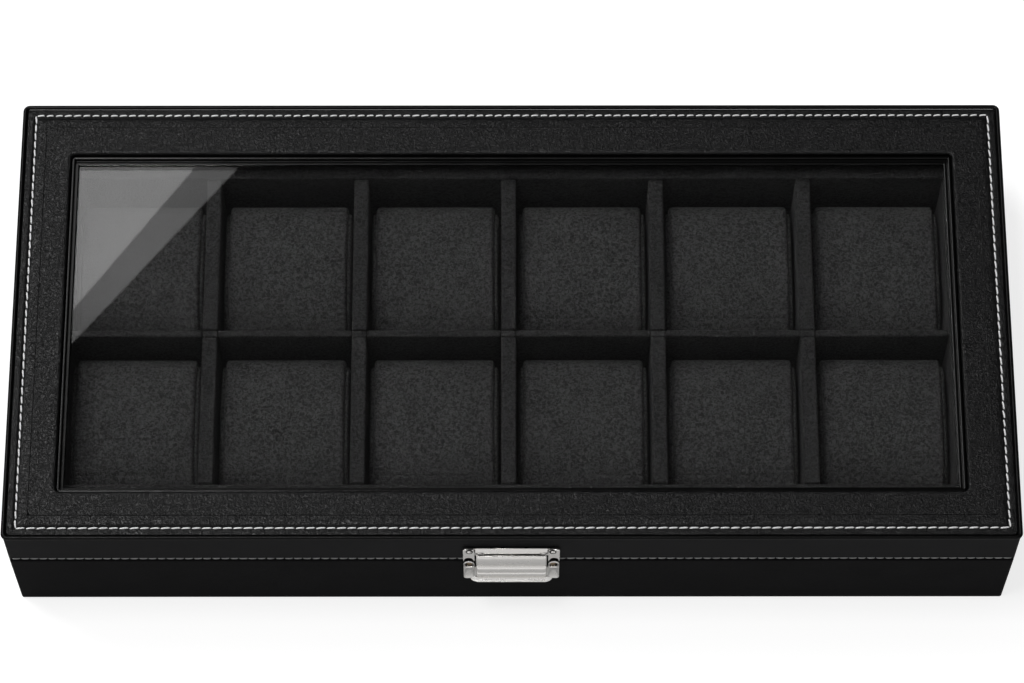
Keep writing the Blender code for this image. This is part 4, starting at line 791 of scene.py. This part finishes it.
def screwHead(centre, out, radius, dome, slotWidth, slotDepth, turnBy, sign=-1):
    # a domed head on a grid: across = u sqrt(1 - v^2), up = v, dome height 1 - r^2, with a step down in the slot
    half = slotWidth / radius / 2
    v = np.concatenate([-np.cos(np.linspace(0.05, np.pi / 2 - 0.15, 9)), [-half * 1.05, -half * 0.95]])
    v = np.concatenate([v, -v[::-1]])
    u = np.linspace(-1, 1, 15)
    a, b = u[None] * np.sqrt(1 - v[:, None] ** 2), np.broadcast_to(v[:, None], (len(v), 15))
    height = dome * (1 - (a ** 2 + b ** 2)) + 0.25 * dome
    height = np.where(np.abs(b) < half, height - slotDepth, height)
    c, s = np.cos(turnBy), np.sin(turnBy)
    top = np.stack([(a * c - b * s) * radius, (a * s + b * c) * radius, out + height], -1)
    bottom = np.stack([(a * c - b * s) * radius, (a * s + b * c) * radius, np.full(a.shape, out - 0.3 * mm)], -1)[:, ::-1]
    rings = np.concatenate([top, bottom], 1)
    rings[..., 0] += centre[0]
    rings[..., 1] += centre[1]
    return np.stack([rings[..., 0], sign * rings[..., 2], rings[..., 1]], -1)


screws = {"radius": 0.92 * mm, "dome": 0.55 * mm, "slotWidth": 0.42 * mm, "slotDepth": 0.34 * mm, "shadeRing": (1.42, 2.1)}
for side, x, turnBy in (("left", -15.75, 0.75), ("right", 15.55, 1.45)):
    at = ((x + shiftX) * mm, 50.55 * mm)
    head = screwHead(at, 90.95 * mm, screws["radius"], screws["dome"], screws["slotWidth"], screws["slotDepth"], turnBy)
    finishPiece(joinRings("claspScrew_" + side, [head]), "lid", nickelPlate, ["latch_screw_" + side])
    # painted shade: a thin dark ring on the ear round each head stands in for the shadow in the gap round it
    shadeRingRings = frontRings(arcPoints(at[0] / mm, at[1] / mm, *screws["shadeRing"], 0, 348.75, 32),
            [(0.5, 90.9), (0.0, 90.9), (0.0, 90.98), (0.06, 91.03), (0.5, 91.03)])
    finishPiece(joinRings("claspScrewShadeRing_" + side, [shadeRingRings]), "lid", screwShadeDark)
    low = screwHead(((x + shiftX) * mm, 36.45 * mm), 90.25 * mm, 1.15 * mm, 0.3 * mm, 0.35 * mm, 0.2 * mm, 0.5 + turnBy)
    finishPiece(joinRings("claspLowScrew_" + side, [low]), "case", darkBrass, ["catch_screw_" + side])
print("clasp done")


# ---- hinges ----

hinge = {"bore": 0.97 * mm, "tabFrom": 0.65 * mm, "leafHeight": 12.5 * mm, "leafThickness": 0.8 * mm, "knuckle": 1.6 * mm,
        "gap": 0.3 * mm, "length": 38.0 * mm, "screw": 1.7 * mm}
backFace = baseHigh.y
for label in ("left", "right"):
    lowLeaf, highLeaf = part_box(f"hinge_{label}_base_leaf")
    pinLow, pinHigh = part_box(f"hinge_{label}_pin")
    middle = (lowLeaf.x + highLeaf.x) / 2
    axisY, axisZ = (pinLow.y + pinHigh.y) / 2, (pinLow.z + pinHigh.z) / 2
    half, third = hinge["length"] / 2, hinge["length"] * 0.33
    spans = {"base": [(-half, third - half), (half - third, half)],
            "lid": [(third - half + hinge["gap"], half - third - hinge["gap"])]}
    for part, body, side in (("base", "case", -1), ("lid", "lid", 1)):
        edge = axisZ + side * (hinge["knuckle"] + hinge["gap"])
        far = edge + side * hinge["leafHeight"]
        blocks = [softBlock((middle - half, backFace + hinge["gap"], min(edge, far)),
                (middle + half, backFace + hinge["gap"] + hinge["leafThickness"], max(edge, far)), 0.15 * mm)]
        for start, end in spans[part]:
            tabLow, tabHigh = sorted((axisZ + side * hinge["tabFrom"], edge + side * 0.4 * mm))
            blocks.append(softBlock((middle + start, backFace + hinge["gap"] + 0.02 * mm, tabLow),
                    (middle + end, backFace + hinge["gap"] + hinge["leafThickness"] - 0.02 * mm, tabHigh),
                    0.08 * mm))
            blocks.append((turnedRings(middle + start, middle + end, hinge["knuckle"], hinge["bore"], 0.12 * mm, axisY, axisZ),))
        finishPiece(joinRings(f"hingeLeaf_{label}_{part}", blocks), body, nickelPlate, [f"hinge_{label}_{part}_leaf"])
        heads = [screwHead((middle + k * hinge["length"] * 0.32, (edge + far) / 2),
                backFace + hinge["gap"] + hinge["leafThickness"] + 0.25 * mm,
                hinge["screw"], 0.35 * mm, 0.42 * mm, 0.3 * mm, 0.4 + k, 1) for k in (-1, 1)]
        finishPiece(joinRings(f"hingeScrews_{label}_{part}", heads), body, nickelPlate)
    pin = joinRings(f"hingePin_{label}", turnedAlongX([(pinLow.x, pinHigh.x, 0.93 * mm, 0.15 * mm)], axisY, axisZ))
    finishPiece(pin, "case", pinSteel, [f"hinge_{label}_pin"])
print("hinges done")


# ---- floor, light and camera ----

stageSet = {"half": 3.0, "drop": -0.00005, "colour": (0.34, 0.34, 0.34), "lift": 0.78, "fill": 0.20,
        "nearLift": 0.24, "farLift": 0.85, "nearEdge": -0.12, "farEdge": -0.24,
        "pale": 0.85, "paleFrom": -0.50, "dimFrom": -0.12, "dim": 0.03}
h, low = stageSet["half"], stageSet["drop"]
ground = makeMesh("floor", np.array([[-h, -h, low], [h, -h, low], [h, h, low], [-h, h, low]]), [np.array([[0, 1, 2, 3]])], False)


def seenDirectly(tree):
    # 1 for rays of the camera, straight or through the glass, 0 once a ray was scattered or mirrored
    path = addNode(tree, "ShaderNodeLightPath")
    seen = mathNode(tree, "MAXIMUM", path.outputs["Is Camera Ray"], path.outputs["Is Transmission Ray"])
    mirrored = mathNode(tree, "GREATER_THAN", path.outputs["Glossy Depth"], 0.5)
    scattered = mathNode(tree, "GREATER_THAN", path.outputs["Diffuse Depth"], 0.5)
    touched = mathNode(tree, "MAXIMUM", mirrored, scattered)
    return mathNode(tree, "MULTIPLY", seen, mathNode(tree, "SUBTRACT", 1.0, touched)), mirrored, path


paper, paperTree, paperShader = newMaterial("paleFloor",
        {"Base Color": (*stageSet["colour"], 1), "Roughness": 0.9, "Specular IOR Level": 0.0})
seen, _, paperPath = seenDirectly(paperTree)
# painted shadow: in reflections the floor's glow is lower near the front of the box, standing in for the box's shadow
# on the floor
floorY = addNode(paperTree, "ShaderNodeSeparateXYZ", {0: addNode(paperTree, "ShaderNodeTexCoord").outputs["Object"]}).outputs["Y"]
mirroredLift = addNode(paperTree, "ShaderNodeMapRange",
        {"Value": floorY, "From Min": stageSet["farEdge"], "From Max": stageSet["nearEdge"],
        "To Min": stageSet["farLift"],
        "To Max": stageSet["nearLift"]}).outputs["Result"]
inMirror = mathNode(paperTree, "MULTIPLY", paperPath.outputs["Is Glossy Ray"], mirroredLift)
shown = mathNode(paperTree, "MAXIMUM", mathNode(paperTree, "MULTIPLY", seen, stageSet["lift"]), inMirror)
glow = addNode(paperTree, "ShaderNodeEmission", {"Color": (1, 1, 1, 1), "Strength": shown})
paperSum = addNode(paperTree, "ShaderNodeAddShader", {0: paperShader.outputs[0], 1: glow.outputs[0]})
paperTree.links.new(paperSum.outputs[0], paperTree.nodes["Material Output"].inputs["Surface"])
ground.data.materials.append(paper)

# the room: white to the camera and even to the surfaces. In reflections it is pale in front and nearly black at the
# back, where the glass mirrors it to the camera
world = bpy.data.worlds.new("studio")
world.use_nodes = True
bpy.context.scene.world = world
room = world.node_tree
seen, mirrored, _ = seenDirectly(room)
way = addNode(room, "ShaderNodeSeparateXYZ", {0: addNode(room, "ShaderNodeTexCoord").outputs["Generated"]}).outputs["Y"]
pale = addNode(room, "ShaderNodeMapRange", {"Value": way, "From Min": stageSet["paleFrom"], "From Max": stageSet["dimFrom"],
        "To Min": stageSet["pale"], "To Max": stageSet["dim"]}).outputs["Result"]
unmirrored = mathNode(room, "MULTIPLY", mathNode(room, "SUBTRACT", 1.0, mirrored), stageSet["fill"])
strength = mathNode(room, "MAXIMUM", seen, mathNode(room, "MULTIPLY_ADD", pale, mirrored, unmirrored))
room.nodes["Background"].inputs["Color"].default_value = (1, 1, 1, 1)
room.links.new(strength, room.nodes["Background"].inputs["Strength"])

# lamps: where each stands, where it looks, its size and the light that leaves it (radiance)
lamps = {
    "keyTop": {"at": (-0.45, -0.05, 2.35), "to": (0, 0, 0.05), "size": (0.7, 0.4), "radiance": 29.0},
    "keyBackLeft": {"at": (-1.2, 0.95, 2.2), "to": (0, 0, 0.05), "size": (1.0, 1.0), "radiance": 9.0},
}


def addLamp(name, size, radiance, at, turnedBy):
    # a lamp that gives off this radiance evenly
    data = bpy.data.lights.new(name, "AREA")
    data.shape = "RECTANGLE"
    data.size, data.size_y = size
    data.energy = radiance * np.pi * size[0] * size[1]
    obj = bpy.data.objects.new(name, data)
    obj.location, obj.rotation_euler = at, turnedBy
    bpy.context.scene.collection.objects.link(obj)


for name, lamp in lamps.items():
    aim = (Vector(lamp["to"]) - Vector(lamp["at"])).to_track_quat("-Z", "Y").to_euler()
    addLamp(name, lamp["size"], lamp["radiance"], lamp["at"], aim)

# two soft boxes overhead whose edges show as the slanting sheen on the glass: two points of the edge, at this height
sheen = {
    "near": {"edge": ((-0.2245, 0.6379), (-0.2965, 0.5405)), "height": 1.2, "size": (1.1, 0.45), "radiance": 1.45},
    "far": {"edge": ((-0.1943, 0.6435), (-0.2980, 0.5170)), "height": 1.21, "size": (1.1, 0.45), "radiance": 0.90},
}
for name, box in sheen.items():
    first, second = (np.array(p) for p in box["edge"])
    direction = (second - first) / np.linalg.norm(second - first)
    across = np.array([direction[1], -direction[0]])
    across = across if across @ np.array([-1, 1]) > 0 else -across
    centre = (first + second) / 2 + across * box["size"][1] / 2
    addLamp("sheen_" + name, box["size"], box["radiance"], (*centre, box["height"]),
            (0, 0, np.arctan2(direction[1], direction[0])))

view = {"elevation": 65.98, "azimuth": -0.05, "distance": 1.56, "target": (-0.0001, 0.0, 0.030), "lens": 141.35,
        "shift": (0.0007, 0.01045)}
e, a = np.radians(view["elevation"]), np.radians(view["azimuth"])
back = Vector((np.sin(a) * np.cos(e), -np.cos(a) * np.cos(e), np.sin(e)))
camera = bpy.data.objects.new("camera", bpy.data.cameras.new("camera"))
camera.data.lens, camera.data.sensor_width = view["lens"], 36.0
camera.data.shift_x, camera.data.shift_y = view["shift"]
camera.data.clip_start, camera.data.clip_end = 0.05, 50
camera.location = Vector(view["target"]) + back * view["distance"]
camera.rotation_euler = (-back).to_track_quat("-Z", "Y").to_euler()
bpy.context.scene.collection.objects.link(camera)
bpy.context.scene.camera = camera
bpy.context.scene.view_settings.view_transform = "Standard"
print("stage done")
